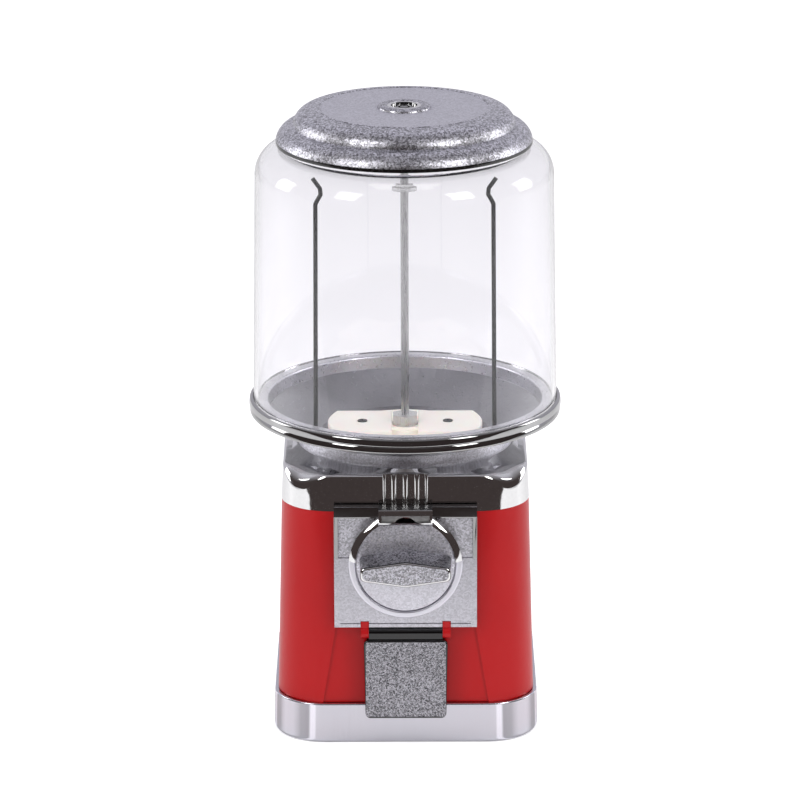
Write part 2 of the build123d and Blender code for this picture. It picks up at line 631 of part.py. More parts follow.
def slot_housing():
    """The box above the handle that takes the coin; its front lip hangs clear of the dial."""
    side_view = Polyline(
        (MECH_BACK, SLOT_LOW),
        (-100.2, SLOT_LOW),
        (-101.8, 167.5),
        (-100.6, SLOT_TOP - 2.2),
        (-98.8, SLOT_TOP),
        (MECH_BACK, SLOT_TOP),
        close=True,
    )
    box = extrude(Plane.YZ.offset(-SLOT_HALF) * make_face(side_view), 2 * SLOT_HALF)
    face = Polyline(
        (-104, SLOT_LOW + 1.3),
        (-99.4, SLOT_LOW + 1.3),
        (-100.2, 169.0),
        (-99.7, SLOT_TOP - 3.0),
        (-104, SLOT_TOP - 3.0),
        close=True,
    )
    inset = extrude(Plane.YZ.offset(-SLOT_HALF + 2.2) * make_face(face), 2 * SLOT_HALF - 4.4)
    box -= inset
    opening = rod_y(9.2, -103, -86, 0, 160.0) & slab(-9.0, 9.0, -103, -86, SLOT_LOW + 1.8, 171.0)
    box -= opening
    box -= slab(-14.3, 14.3, -96.0, -85.0, 162.0, 169.0)
    dial_room = rod_y(DIAL_R + 0.6, DIAL_FRONT - 0.5, PLATE_FRONT + 3.0)
    grip_room = rod_y(GRIP_HALF + 0.5, -110.0, DIAL_FRONT)
    return box - dial_room - grip_room


RIB_PITCH = 8.0
RIB_GAP = 5.0
RIBS_HALF = 15.7


def coin_guide():
    """Ribs on the cap's front that guide a coin down to the slot."""
    low, high, back = SLOT_TOP + 0.02, 197.0, -86.95
    crown = (-90.6, high - 3.4)
    outline = Polyline((back, low), (-91.2, low), crown, (-88.8, high), (back, high), close=True)
    block = extrude(Plane.YZ.offset(-RIBS_HALF) * make_face(outline), 2 * RIBS_HALF)
    for index in range(4):
        x = (index - 1.5) * RIB_PITCH
        half = RIB_GAP / 2
        block -= slab(x - half, x + half, -99, -88.2, low - 1, high + 1)
        block -= slab(x - half + 0.4, x + half - 0.4, -99, -87.6, low - 1, low + 1.6)
    return block


def handle():
    """The cast dial with its grip bar."""
    face = Circle(DIAL_R) & (Pos(0, (28.6 - 40) / 2) * Rectangle(80, 28.6 + 40))
    dial = front_plate(face, -92.0, DIAL_FRONT)
    dial = fillet(dial.faces().sort_by(Axis.Y)[0].edges(), 0.8)
    root = lens(GRIP_HALF, 12.2, 5.8)
    crown = lens(GRIP_HALF - 1.0, 8.9, 4.5)
    low_plane = Plane(origin=(0, -96.8, AXIS_Z), x_dir=(1, 0, 0), z_dir=(0, -1, 0))
    top_plane = Plane(origin=(0, GRIP_FRONT, AXIS_Z), x_dir=(1, 0, 0), z_dir=(0, -1, 0))
    grip = loft(Sketch() + [low_plane * root, top_plane * crown])
    grip = fillet(grip.faces().sort_by(Axis.Y)[0].edges(), 0.9)
    boss = rod_y(BOSS_R, -93.0, -88.4)
    knob = dial + grip + boss
    return knob - rod_y(SHAFT_R + 0.01, -94.5, -80.0)


def lens(half, mid, end):
    """The grip's outline: a long hexagon with round ends."""
    low_side = [(-half, -end), (0, -mid), (half, -end)]
    high_side = [(half, end), (0, mid), (-half, end)]
    face = make_face(Polyline(*low_side, *high_side, close=True))
    ends = face.vertices().filter_by(lambda v: abs(v.X) > half - 0.5)
    return fillet(ends, 3.6)


def handle_shaft():
    return rod_y(SHAFT_R, -94.4, -45.0)


def coin_carrier():
    """The wheel behind the plate that carries the coin round."""
    carrier = rod_y(30.0, -84.0, -78.5) + rod_y(11.0, -88.3, -78.5)
    carrier -= slab(-12.6, 12.6, -90, -70, AXIS_Z + 15.0, AXIS_Z + 40)
    for index in range(5):
        a = radians(-30 + index * 60 - 90)
        carrier -= rod_y(4.6, -90, -70, 20.5 * cos(a), AXIS_Z + 20.5 * sin(a))
    return carrier - rod_y(SHAFT_R + 0.01, -100, -70)


def mech_back_plate():
    plate = slab(-43.0, 43.0, -76.0, -73.6, 94.5, 164.5)
    for x, z in MECH_SCREWS_AT:
        plate -= rod_y(2.05, -80, -70, x, z)
    plate -= rod_y(8.0 + 0.02, -80, -70)
    plate -= rod_y(1.5, -80, -70, PAWL_X, PAWL_Z)
    plate -= slab(-12, 12, -80, -70, 90, 104)
    return plate


def shaft_bush():
    bush = rod_y(8.0, -77.0, -72.6) + rod_y(10.0, -77.6, -76.02)
    return bush - rod_y(SHAFT_R + RUN, -80, -70)


def mech_standoffs():
    posts = []
    for x, z in MECH_SCREWS_AT:
        post = rod_y(4.2, MECH_BACK + 0.02, -76.02, x, z)
        posts.append(post - rod_y(2.05, -95, -70, x, z))
    return Compound(posts)


def mech_screws():
    screws = []
    for x, z in MECH_SCREWS_AT:
        screw = rod_y(2.0, -91.8, -73.5, x, z) + rod_y(3.6, -73.55, -71.4, x, z)
        screws.append(screw - slab(x - 4, x + 4, -72.4, -71.0, z - 0.4, z + 0.4))
    return Compound(screws)


RATCHET_R = 18.0
RATCHET_TEETH = 16
PAWL_X = 29.0
PAWL_Z = AXIS_Z + 14.0


def ratchet_wheel():
    step = 2 * pi / RATCHET_TEETH
    points = []
    for index in range(RATCHET_TEETH):
        a = index * step
        points.append((RATCHET_R * cos(a), RATCHET_R * sin(a)))
        points.append((15.0 * cos(a + 0.08), 15.0 * sin(a + 0.08)))
    disc = front_plate(make_face(Polyline(*points, close=True)), -66.6, -70.0)
    disc += rod_y(9.0, -70.0, -62.0)
    return disc - rod_y(SHAFT_R + 0.01, -80, -50)


def ratchet_pawl():
    """A finger that stops the handle from turning back."""
    length = sqrt(PAWL_X ** 2 + (PAWL_Z - AXIS_Z) ** 2) - RATCHET_R - 0.5
    finger = [(length - 6.0, -2.4), (length, -0.6), (length - 3.0, 2.6)]
    arm = Polyline((-3.4, 2.6), (-3.4, -2.6), *finger, close=True)
    angle = degrees(pi + asin((PAWL_Z - AXIS_Z) / (length + RATCHET_R + 0.5)))
    shape = Pos(PAWL_X, PAWL_Z - AXIS_Z) * Rot(0, 0, angle) * make_face(arm)
    pawl = front_plate(shape, -66.8, -69.8) + rod_y(4.2, -69.8, -66.8, PAWL_X, PAWL_Z)
    return pawl - rod_y(1.5 + RUN, -75, -60, PAWL_X, PAWL_Z)


def pawl_pin():
    return rod_y(1.5, -75.9, -65.6, PAWL_X, PAWL_Z) + rod_y(2.6, -66.5, -65.6, PAWL_X, PAWL_Z)


def shaft_clip():
    """The retaining ring at the shaft's inner end."""
    ring = rod_y(7.6, -47.6, -46.4) - rod_y(SHAFT_R + 0.01, -50, -40)
    return ring - slab(-1.6, 1.6, -50, -40, AXIS_Z - 9, AXIS_Z - 3)


# ---------------------------------------------------------------- chute and door
CHUTE_R = POCKET_R + 0.3
CHUTE_WALL = 1.6
CHUTE_BEND_Z = 108.0
CHUTE_END = (0.0, -78.0, 53.0)


def chute_run(radius, top):
    """The solid path of the chute at one radius: a drop, then a slide to the front."""
    drop = rod_z(radius, CHUTE_BEND_Z, top, POCKET_AT, 0)
    knee = Pos(POCKET_AT, 0, CHUTE_BEND_Z) * Sphere(radius)
    start = Vector(POCKET_AT, 0, CHUTE_BEND_Z)
    run = Vector(*CHUTE_END) - start
    slide = extrude(Plane(origin=start, z_dir=run) * Circle(radius), run.length + 12)
    return drop + knee + slide


def chute_tube():
    tube = chute_run(CHUTE_R + CHUTE_WALL, FLOOR_Z0 - 0.05) - chute_run(CHUTE_R, FLOOR_Z0 + 1)
    return tube & slab(-80, 80, -79.5, 80, 20, 160)


def chute_frame():
    """The throat behind the door."""
    outer = slab(-CHUTE_HALF + 0.1, CHUTE_HALF - 0.1, DOOR_BACK + 0.3, -79.6, 31.1, 76.0)
    outer = fillet(outer.edges().filter_by(Axis.Y), 2.0)
    throat = slab(-25.4, 25.4, -110, -70, 32.9, 74.4)
    return outer - fillet(throat.edges().filter_by(Axis.Y), 1.5)


def chute_door():
    foot_half = DOOR_HALF - 1.2
    low_edge = [(-foot_half, DOOR_LOW), (foot_half, DOOR_LOW)]
    outline = Polyline(*low_edge, (DOOR_HALF, DOOR_TOP), (-DOOR_HALF, DOOR_TOP), close=True)
    plane = Plane(origin=(0, DOOR_BACK, 0), x_dir=(1, 0, 0), z_dir=(0, -1, 0))
    leaf = extrude(plane * fillet(make_face(outline).vertices(), 3.6), DOOR_BACK - DOOR_FRONT)
    leaf = fillet(leaf.faces().sort_by(Axis.Y)[0].edges(), 1.2)
    barrel = rod_x(3.9, -25.6, 25.6, DOOR_AXIS_Y, DOOR_AXIS_Z)
    neck = slab(-25.6, 25.6, -96.6, DOOR_AXIS_Y, 76.4, DOOR_AXIS_Z)
    return leaf + barrel + neck - rod_x(1.5 + RUN, -30, 30, DOOR_AXIS_Y, DOOR_AXIS_Z)


def door_pin():
    return rod_x(1.48, -30.8, 30.8, DOOR_AXIS_Y, DOOR_AXIS_Z)


def cash_tray():
    """An open tray on the base plate that catches the coins."""
    z0 = PLATE_Z1 + 0.05
    outer = slab(-58, 58, -48, 72, z0, z0 + 16)
    outer = fillet(outer.edges().filter_by(Axis.Z), 8.0)
    inner = slab(-56.4, 56.4, -46.4, 70.4, z0 + 1.4, z0 + 20)
    inner = fillet(inner.edges().filter_by(Axis.Z), 6.6)
    tray = outer - inner + rod_z(6.4, z0, z0 + 16)
    return tray - rod_z(ROD_R + 0.5, 10, 40)


# ---------------------------------------------------------------- write the files
NODES = {
    "base_skirt": base_skirt,
    "base_plate": base_plate,
    "base_screws": base_screws,
    "rubber_feet": rubber_feet,
    "body_shell": body_shell,
    "top_cap": top_cap,
    "hopper_skirt": hopper_skirt,
    "hopper_ring": hopper_ring,
    "hopper_bowl": hopper_bowl_with_sockets,
    "hopper_floor": hopper_floor,
    "globe_gasket": globe_gasket,
    "globe": globe,
    "display_wires": display_wires,
    "lid": lid,
    "lid_seal": lid_seal,
    "lock_flange": lock_flange,
    "lock_body": lock_body,
    "lock_plug": lock_plug,
    "lock_nut": lock_nut,
    "center_rod": center_rod,
    "rod_collar": rod_collar,
    "rod_washer": rod_washer,
    "rod_nut": rod_nut,
    "wheel_bush": wheel_bush,
    "hub_washer": hub_washer,
    "hub_nut": hub_nut,
    "capsule_wheel": capsule_wheel,
    "wheel_guard": wheel_guard,
    "guard_screws": guard_screws,
    "guard_brushes": guard_brushes,
    "drive_pinion": drive_pinion,
    "mech_plate": mech_plate,
    "border_frame": border_frame,
    "collar_hood": collar_hood,
    "slot_housing": slot_housing,
    "coin_guide": coin_guide,
    "handle": handle,
    "handle_shaft": handle_shaft,
    "coin_carrier": coin_carrier,
    "mech_back_plate": mech_back_plate,
    "shaft_bush": shaft_bush,
    "mech_standoffs": mech_standoffs,
    "mech_screws": mech_screws,
    "ratchet_wheel": ratchet_wheel,
    "ratchet_pawl": ratchet_pawl,
    "pawl_pin": pawl_pin,
    "shaft_clip": shaft_clip,
    "chute_tube": chute_tube,
    "chute_frame": chute_frame,
    "chute_door": chute_door,
    "door_pin": door_pin,
    "cash_tray": cash_tray,
}

os.makedirs("parts", exist_ok=True)
for node, make in NODES.items():
    export_step(make(), f"parts/{node}.step")
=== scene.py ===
"""Looks of the counter-top capsule vendor: materials, finer visible shells, stage, light and camera."""

import json
import math

import bmesh
import bpy
from mathutils import Matrix, Vector


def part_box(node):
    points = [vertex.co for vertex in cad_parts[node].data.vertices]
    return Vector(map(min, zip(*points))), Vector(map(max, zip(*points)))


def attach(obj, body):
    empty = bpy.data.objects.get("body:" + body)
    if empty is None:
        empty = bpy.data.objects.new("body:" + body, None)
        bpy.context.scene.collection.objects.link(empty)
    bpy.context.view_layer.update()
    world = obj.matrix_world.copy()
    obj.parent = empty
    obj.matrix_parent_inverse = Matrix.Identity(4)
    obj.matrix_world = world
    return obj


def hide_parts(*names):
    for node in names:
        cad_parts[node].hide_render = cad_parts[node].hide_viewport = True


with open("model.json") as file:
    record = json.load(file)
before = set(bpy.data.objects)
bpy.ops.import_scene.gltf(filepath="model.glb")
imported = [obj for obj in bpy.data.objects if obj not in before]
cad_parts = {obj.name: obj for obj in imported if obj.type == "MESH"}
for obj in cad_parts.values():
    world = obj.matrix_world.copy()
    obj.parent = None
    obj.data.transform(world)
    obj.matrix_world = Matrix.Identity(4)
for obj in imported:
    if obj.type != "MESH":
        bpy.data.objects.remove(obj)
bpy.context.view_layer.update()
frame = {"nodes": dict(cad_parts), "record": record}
MM = 0.001                # the shells below are worked out in millimetres

# Sizes that the frame's boxes don't give, in millimetres.
LID_DISC_R = 58.6         # radius of the lid's flat disc
LOCK_HOLE_R = 11.9
DIAL_R = 34.2
DIAL_FLAT = 28.6          # height of the flat at the top of the dial
DIAL_DEPTH = 5.6
GRIP_HEIGHT = 23.4        # how far the grip stands in front of the dial's face
GRIP_ROOM_R = 32.7        # the grip's way past the slot housing
GRIP_ROUND = 1.5          # rounding of the edge round the grip's face
CAP_EDGE_R = 2.0          # rounded top edge along the cap's sides
CAP_CORNER_EDGE_R = 14.0  # the same at the middle of its corners
CAP_CORNER_R = 36.0
CAP_WALL = 2.5
SEAT_R = 77.5             # the cap's round seat for the hopper, at its top
SEAT_FOOT_R = 84.0
SEAT_LIMIT = 79.5         # half width that the seat's foot keeps to
CAP_BORE_R = 61.0
RIB_PITCH = 8.0
RIB_HALF = 1.7
END_RIB_HALF = 1.1
RIB_HEIGHT = 1.5
HOOD_WIDTH = 4.7
HOOD_SLOPE = 3.0          # how far the hood's front falls back from its inner to its outer edge
HOOD_ARM = (5.2, 66.0)    # angles between which an arm of the hood runs
GAP = 0.05                # clearance between fitted shells
FAR_FRONT, FAR_BACK = -112.0, -80.0   # depths between which a cutter passes through the coin front


# ------------------------------------------------------------------ material helpers
class Nodes:
    """A material's node tree with short calls for the nodes used here."""

    def __init__(self, name):
        self.material = bpy.data.materials.new(name)
        self.material.use_nodes = True
        self.tree = self.material.node_tree
        self.shader = self.tree.nodes["Principled BSDF"]
        self.output = self.tree.nodes["Material Output"]
        coordinates = self.tree.nodes.new("ShaderNodeTexCoord")
        self.place = coordinates.outputs["Object"]

    def add(self, kind, **settings):
        node = self.tree.nodes.new(kind)
        for key, value in settings.items():
            setattr(node, key, value)
        return node

    def link(self, source, target):
        self.tree.links.new(source, target)

    def set(self, **values):
        for key, value in values.items():
            self.shader.inputs[key.replace("_", " ")].default_value = value

    def stretched(self, scale):
        """Object coordinates scaled along each axis, for streaks."""
        mapping = self.add("ShaderNodeMapping")
        mapping.inputs["Scale"].default_value = scale
        self.link(self.place, mapping.inputs["Vector"])
        return mapping.outputs["Vector"]

    def noise(self, scale, detail=2.0, rough=0.5, place=None):
        node = self.add("ShaderNodeTexNoise")
        node.inputs["Scale"].default_value = scale
        node.inputs["Detail"].default_value = detail
        node.inputs["Roughness"].default_value = rough
        self.link(place or self.place, node.inputs["Vector"])
        return node.outputs["Fac"]

    def grains(self, scale):
        """A random value for each small cell, for pebbled metal."""
        node = self.add("ShaderNodeTexVoronoi", feature="F1")
        node.inputs["Scale"].default_value = scale
        self.link(self.place, node.inputs["Vector"])
        split = self.add("ShaderNodeSeparateColor")
        self.link(node.outputs["Color"], split.inputs["Color"])
        return split.outputs["Red"]

    def ramp(self, value, stops):
        node = self.add("ShaderNodeValToRGB")
        elements = node.color_ramp.elements
        while len(elements) < len(stops):
            elements.new(0.5)
        for element, (position, colour) in zip(elements, stops):
            element.position = position
            element.color = (*colour, 1.0)
        self.link(value, node.inputs["Fac"])
        return node.outputs["Color"]

    def span(self, value, low, high, from_low=0.3, from_high=0.7):
        """Map a 0..1 pattern to a range of numbers."""
        node = self.add("ShaderNodeMapRange")
        node.inputs["From Min"].default_value = from_low
        node.inputs["From Max"].default_value = from_high
        node.inputs["To Min"].default_value = low
        node.inputs["To Max"].default_value = high
        self.link(value, node.inputs["Value"])
        return node.outputs["Result"]

    def bump(self, height, distance, strength=1.0):
        node = self.add("ShaderNodeBump")
        node.inputs["Distance"].default_value = distance
        node.inputs["Strength"].default_value = strength
        self.link(height, node.inputs["Height"])
        return node.outputs["Normal"]

    def drive(self, socket, value):
        self.link(value, self.shader.inputs[socket])

    def axes(self):
        """The object coordinates, one socket for each axis."""
        split = self.add("ShaderNodeSeparateXYZ")
        self.link(self.place, split.inputs["Vector"])
        return split.outputs

    def compared(self, value, operation, limit):
        """1 where a value passes a GREATER_THAN or LESS_THAN test, else 0."""
        test = self.add("ShaderNodeMath", operation=operation)
        self.link(value, test.inputs[0])
        test.inputs[1].default_value = limit
        return test.outputs["Value"]

    def joined(self, operation, *values):
        """A calculation with one or two sockets."""
        node = self.add("ShaderNodeMath", operation=operation)
        for value, socket in zip(values, node.inputs):
            self.link(value, socket)
        return node.outputs["Value"]

    def blended(self, share, first, second):
        """A colour between a socket and a socket or constant."""
        node = self.add("ShaderNodeMix", data_type="RGBA")
        self.link(share, node.inputs[0])
        self.link(first, node.inputs[6])
        if isinstance(second, tuple):
            node.inputs[7].default_value = (*second, 1.0)
        else:
            self.link(second, node.inputs[7])
        return node.outputs[2]

    def masked_bump(self, height, distance, strength):
        """A bump whose strength is itself a socket."""
        node = self.add("ShaderNodeBump")
        node.inputs["Distance"].default_value = distance
        self.link(strength, node.inputs["Strength"])
        self.link(height, node.inputs["Height"])
        return node.outputs["Normal"]


def grey(value, tint=(1.0, 1.0, 1.0)):
    """A grey, or a grey with a tint."""
    return tuple(value * t for t in tint)


LAVENDER = (0.97, 0.96, 1.04)


def hammered_metal(name, light, dark, grain=1000.0, depth=0.00012, rough=0.27, contrast=0.45):
    """Plated casting with a fine pebbled skin: bright grains between dark ones."""
    n = Nodes(name)
    grit = n.noise(grain, 3.0, 0.8)
    stops = [(0.5 - contrast, grey(dark, LAVENDER)), (0.5 + contrast, grey(light, LAVENDER))]
    n.drive("Base Color", n.ramp(n.grains(grain), stops))
    n.set(Metallic=1.0)
    n.drive("Roughness", n.span(grit, rough * 1.3, rough * 0.8))
    n.drive("Normal", n.bump(grit, depth))
    return n.material


def polished_where(name, masks, light, dark, grain, depth, contrast, tone):
    """Pebbled metal with polished zones; each mask is (axis, direction, limit in metres)."""
    n = Nodes(name)
    axes = n.axes()
    polished = None
    for axis, direction, limit in masks:
        value = axes[axis]
        if direction == "outside":
            value = n.joined("ABSOLUTE", value)
        test = n.compared(value, "LESS_THAN" if direction == "below" else "GREATER_THAN", limit)
        polished = test if polished is None else n.joined("MAXIMUM", polished, test)
    grit = n.noise(grain, 3.0, 0.8)
    stops = [(0.5 - contrast, grey(dark, LAVENDER)), (0.5 + contrast, grey(light, LAVENDER))]
    pebbles = n.ramp(n.grains(grain), stops)
    n.drive("Base Color", n.blended(polished, pebbles, grey(tone)))
    n.set(Metallic=1.0)
    n.drive("Roughness", n.span(polished, 0.26, 0.10, 0.0, 1.0))
    n.drive("Normal", n.masked_bump(grit, depth, n.span(polished, 1.0, 0.05, 0.0, 1.0)))
    return n.material


def coin_plate_metal(name, panel_from, ring_before, pebble_tones=(0.48, 0.90), panel_rough=0.40):
    """Pale fine metal below, a darker pebbled panel above, and a smooth satin ring in front."""
    n = Nodes(name)
    axes = n.axes()
    panel = n.compared(axes["Z"], "GREATER_THAN", panel_from)
    ring = n.compared(axes["Y"], "LESS_THAN", ring_before)
    grit = n.noise(1100.0, 3.0, 0.8)
    grains = n.grains(1000.0)
    pale = n.ramp(grains, [(0.05, grey(0.54, LAVENDER)), (0.95, grey(0.70, LAVENDER))])
    dark, light = pebble_tones
    pebbles = n.ramp(grains, [(0.05, grey(dark, LAVENDER)), (0.95, grey(light, LAVENDER))])
    n.drive("Base Color", n.blended(ring, n.blended(panel, pale, pebbles), grey(0.82, LAVENDER)))
    n.set(Metallic=1.0)
    n.drive("Roughness", n.span(panel, 0.30, panel_rough, 0.0, 1.0))
    n.drive("Normal", n.masked_bump(grit, 0.00012, n.span(ring, 0.8, 0.04, 0.0, 1.0)))
    return n.material


def mirror_chrome(name, tone=0.80, rough=0.045):
    """Polished plating: almost a mirror, with faint ripples from the casting below."""
    n = Nodes(name)
    ripple = n.noise(38.0, 2.0)
    haze = n.noise(420.0, 3.0)
    n.drive("Base Color", n.ramp(haze, [(0.3, grey(tone * 0.94)), (0.7, grey(tone))]))
    n.set(Metallic=1.0)
    n.drive("Roughness", n.span(haze, rough * 0.7, rough * 1.6))
    n.drive("Normal", n.bump(ripple, 0.0006, 0.35))
    return n.material


def satin_alloy(name):
    """The base skirt: satin metal with faint upright polishing lines and painted reflection bands round its
    corners.
    """
    n = Nodes(name)
    lines = n.noise(1.0, 3.0, 0.6, n.stretched((900.0, 900.0, 14.0)))
    facing = n.add("ShaderNodeSeparateXYZ")
    n.link(n.add("ShaderNodeNewGeometry").outputs["Normal"], facing.inputs["Vector"])
    corner = n.joined("ABSOLUTE", n.joined("MULTIPLY", facing.outputs["X"], facing.outputs["Y"]))
    # Painted reflection: a bright band and a dark band in the colour, placed by how far a face turns round a
    # corner.
    corner_reflections = [(0.06, 0.64), (0.17, 0.66), (0.20, 0.92), (0.27, 0.92), (0.31, 0.40), (0.42, 0.44), (0.49, 0.70)]
    n.drive("Base Color", n.ramp(corner, [(place, grey(tone, LAVENDER)) for place, tone in corner_reflections]))
    n.set(Metallic=1.0)
    n.drive("Roughness", n.span(lines, 0.17, 0.25))
    n.drive("Normal", n.bump(lines, 0.00001, 0.3))
    return n.material


def cast_metal(name, tone=0.42, rough=0.34):
    """Tumbled casting of the bowl and the hopper floor."""
    n = Nodes(name)
    grit = n.noise(520.0, 3.0, 0.6)
    cloud = n.noise(30.0, 3.0)
    stops = [(0.3, grey(tone * 0.85, LAVENDER)), (0.7, grey(tone * 1.1, LAVENDER))]
    n.drive("Base Color", n.ramp(cloud, stops))
    n.set(Metallic=1.0)
    n.drive("Roughness", n.span(grit, rough * 0.8, rough * 1.3))
    n.drive("Normal", n.bump(grit, 0.00022, 0.7))
    return n.material


def red_enamel(name):
    """Glossy red powder coat with a light orange-peel surface."""
    n = Nodes(name)
    peel = n.noise(330.0, 1.0)
    cloud = n.noise(9.0, 2.0)
    n.drive("Base Color", n.ramp(cloud, [(0.3, (0.40, 0.004, 0.006)), (0.7, (0.45, 0.006, 0.008))]))
    n.set(Roughness=0.32, Coat_Weight=0.22, Coat_Roughness=0.16, Specular_IOR_Level=0.14)
    n.drive("Normal", n.bump(peel, 0.00012, 0.35))
    return n.material


def clear_plastic(name):
    """Clear moulded plastic. Shadow and diffuse rays pass, so that the inside stays bright."""
    n = Nodes(name)
    wave = n.noise(11.0, 1.0)
    n.set(Base_Color=(0.972, 0.966, 0.985, 1.0), Transmission_Weight=1.0, IOR=1.38, Roughness=0.0)
    n.drive("Normal", n.bump(wave, 0.0008, 0.12))
    path = n.add("ShaderNodeLightPath")
    soft = n.add("ShaderNodeMath", operation="MAXIMUM")
    n.link(path.outputs["Is Shadow Ray"], soft.inputs[0])
    n.link(path.outputs["Is Diffuse Ray"], soft.inputs[1])
    open_air = n.add("ShaderNodeBsdfTransparent")
    open_air.inputs["Color"].default_value = (0.97, 0.965, 0.985, 1.0)
    mix = n.add("ShaderNodeMixShader")
    n.link(soft.outputs["Value"], mix.inputs["Fac"])
    n.link(n.shader.outputs["BSDF"], mix.inputs[1])
    n.link(open_air.outputs["BSDF"], mix.inputs[2])
    n.link(mix.outputs["Shader"], n.output.inputs["Surface"])
    return n.material


def moulded_plastic(name, colour, rough=0.38, glow=0.0):
    """Injection-moulded plastic with a fine spark-eroded grain; with glow, some translucency and a painted
    glow.
    """
    n = Nodes(name)
    grain = n.noise(900.0, 2.0)
    cloud = n.noise(24.0, 2.0)
    deep = tuple(c * 0.93 for c in colour)
    n.drive("Base Color", n.ramp(cloud, [(0.3, deep), (0.7, colour)]))
    n.drive("Roughness", n.span(grain, rough * 0.85, rough * 1.2))
    n.drive("Normal", n.bump(grain, 0.00006, 0.6))
    if glow:
        n.set(Subsurface_Weight=glow, Subsurface_Scale=0.004)
        # Painted glow: emission brightens the part though it is no lamp; the subsurface above is the
        # plastic's own translucency.
        n.set(Emission_Color=(*colour, 1.0), Emission_Strength=glow * 0.4)
    return n.material


def drawn_steel(name, tone=0.52, rough=0.28):
    """Drawn rod, wire and turned pieces, with rings or lines left by the tool."""
    n = Nodes(name)
    lines = n.noise(1.0, 2.0, 0.6, n.stretched((1500.0, 1500.0, 60.0)))
    n.drive("Base Color", n.ramp(lines, [(0.3, grey(tone * 0.86)), (0.7, grey(tone))]))
    n.set(Metallic=1.0)
    n.drive("Roughness", n.span(lines, rough * 0.8, rough * 1.3))
    n.drive("Normal", n.bump(lines, 0.00005, 0.5))
    return n.material


def brass(name):
    """Turned brass with fine rings."""
    n = Nodes(name)
    lines = n.noise(1.0, 2.0, 0.6, n.stretched((300.0, 1500.0, 300.0)))
    n.drive("Base Color", n.ramp(lines, [(0.3, (0.52, 0.34, 0.12)), (0.7, (0.64, 0.44, 0.17))]))
    n.set(Metallic=1.0)
    n.drive("Roughness", n.span(lines, 0.24, 0.38))
    n.drive("Normal", n.bump(lines, 0.00005, 0.5))
    return n.material


def rubber(name):
    """Dusty black rubber."""
    n = Nodes(name)
    dust = n.noise(700.0, 3.0)
    n.drive("Base Color", n.ramp(dust, [(0.35, (0.012, 0.012, 0.013)), (0.7, (0.030, 0.030, 0.032))]))
    n.drive("Roughness", n.span(dust, 0.60, 0.85))
    n.drive("Normal", n.bump(dust, 0.0001, 0.6))
    return n.material


def bristles(name):
    """Dark brush hair, in streaks along its length."""
    n = Nodes(name)
    hair = n.noise(1.0, 2.0, 0.7, n.stretched((1500.0, 1500.0, 60.0)))
    n.drive("Base Color", n.ramp(hair, [(0.35, (0.010, 0.009, 0.008)), (0.7, (0.06, 0.05, 0.045))]))
    n.set(Roughness=0.7)
    n.drive("Normal", n.bump(hair, 0.0004, 1.0))
    return n.material


MATERIALS = {
    "hammered_chrome": hammered_metal("hammered_chrome", 0.70, 0.22),
    "mirror_chrome": mirror_chrome("mirror_chrome"),
    "satin_alloy": satin_alloy("satin_alloy"),
    "cast_grey": cast_metal("cast_grey"),
    "red_paint": red_enamel("red_paint"),
    "clear_plastic": clear_plastic("clear_plastic"),
    # The last number gives the ivory parts translucency and a painted glow.
    "ivory_plastic": moulded_plastic("ivory_plastic", (0.96, 0.92, 0.84), 0.40, 0.40),
    "bristle": bristles("bristle"),
    "steel": drawn_steel("steel", 0.42, 0.28),
    "zinc_steel": drawn_steel("zinc_steel", 0.55, 0.30),
    "dark_steel": drawn_steel("dark_steel", 0.06, 0.35),
    "brass_gear": brass("brass_gear"),
    "rubber": rubber("rubber"),
    "tray_plastic": moulded_plastic("tray_plastic", (0.045, 0.045, 0.050), 0.45),
}
plate_low, plate_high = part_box("mech_plate")
door_low, door_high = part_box("chute_door")
DOOR_RIM = 0.0014         # polished edge round the door's pebbled face, painted near black as shade, in metres
DOOR_BARREL = 0.0082      # height of the door's hinge barrel and neck, also painted near black as shade
DOOR_POLISHED_SHADE_MASKS = [
    ("X", "outside", door_high[0] - DOOR_RIM),
    ("Z", "below", door_low[2] + DOOR_RIM),
    ("Z", "above", door_high[2] - DOOR_BARREL - DOOR_RIM),
]
PANEL_HEIGHT = 0.0344     # height of the pebbled panel at the top of the coin plate
RING_HEIGHT = 0.0024      # depth of the satin ring in front of the coin plate
LID_CHROME = hammered_metal("lid_chrome", 0.84, 0.24, 1000.0, 0.00016, 0.30, 0.40)
DISC_CHROME = hammered_metal("disc_chrome", 0.74, 0.56, 1000.0, 0.00006, 0.50)
DIAL_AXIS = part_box("handle")[0][2] + DIAL_R * MM
NO_RING = -1.0            # a depth in front of everything
# Painted light: the dial's part above a height just under its axis takes brighter, rougher pebbles than its
# pale part below.
DIAL_CHROME_PAINTED_LIGHT = coin_plate_metal("dial_chrome_painted_light", DIAL_AXIS - 0.004, NO_RING, (0.60, 1.0), 0.50)
BOLD_CHROME = hammered_metal("bold_chrome", 0.88, 0.34, 1150.0, 0.00016, 0.36, 0.35)
# Painted shade: a darker pebbled copy for the grip's upward-facing sides.
SLOPE_PAINTED_SHADE = hammered_metal("slope_painted_shade", 0.60, 0.10, 1050.0, 0.00020, 0.34, 0.38)
# Painted shade: a darkened copy of the mirror chrome for the border frame.
FRAME_CHROME_PAINTED_SHADE = mirror_chrome("frame_chrome_painted_shade", 0.36, 0.07)
RING_CHROME = mirror_chrome("ring_chrome", 0.44, 0.05)
LIP_METAL = cast_metal("lip_metal", 0.50, 0.30)
EDGE_CHROME = mirror_chrome("edge_chrome", 0.80, 0.10)
# Painted shade: near-black chrome laid on the foot of the lid's rim, the back of the grip's rounded edge and
# the upward faces of the slot housing.
EDGE_PAINTED_SHADE = mirror_chrome("edge_painted_shade", 0.10, 0.20)
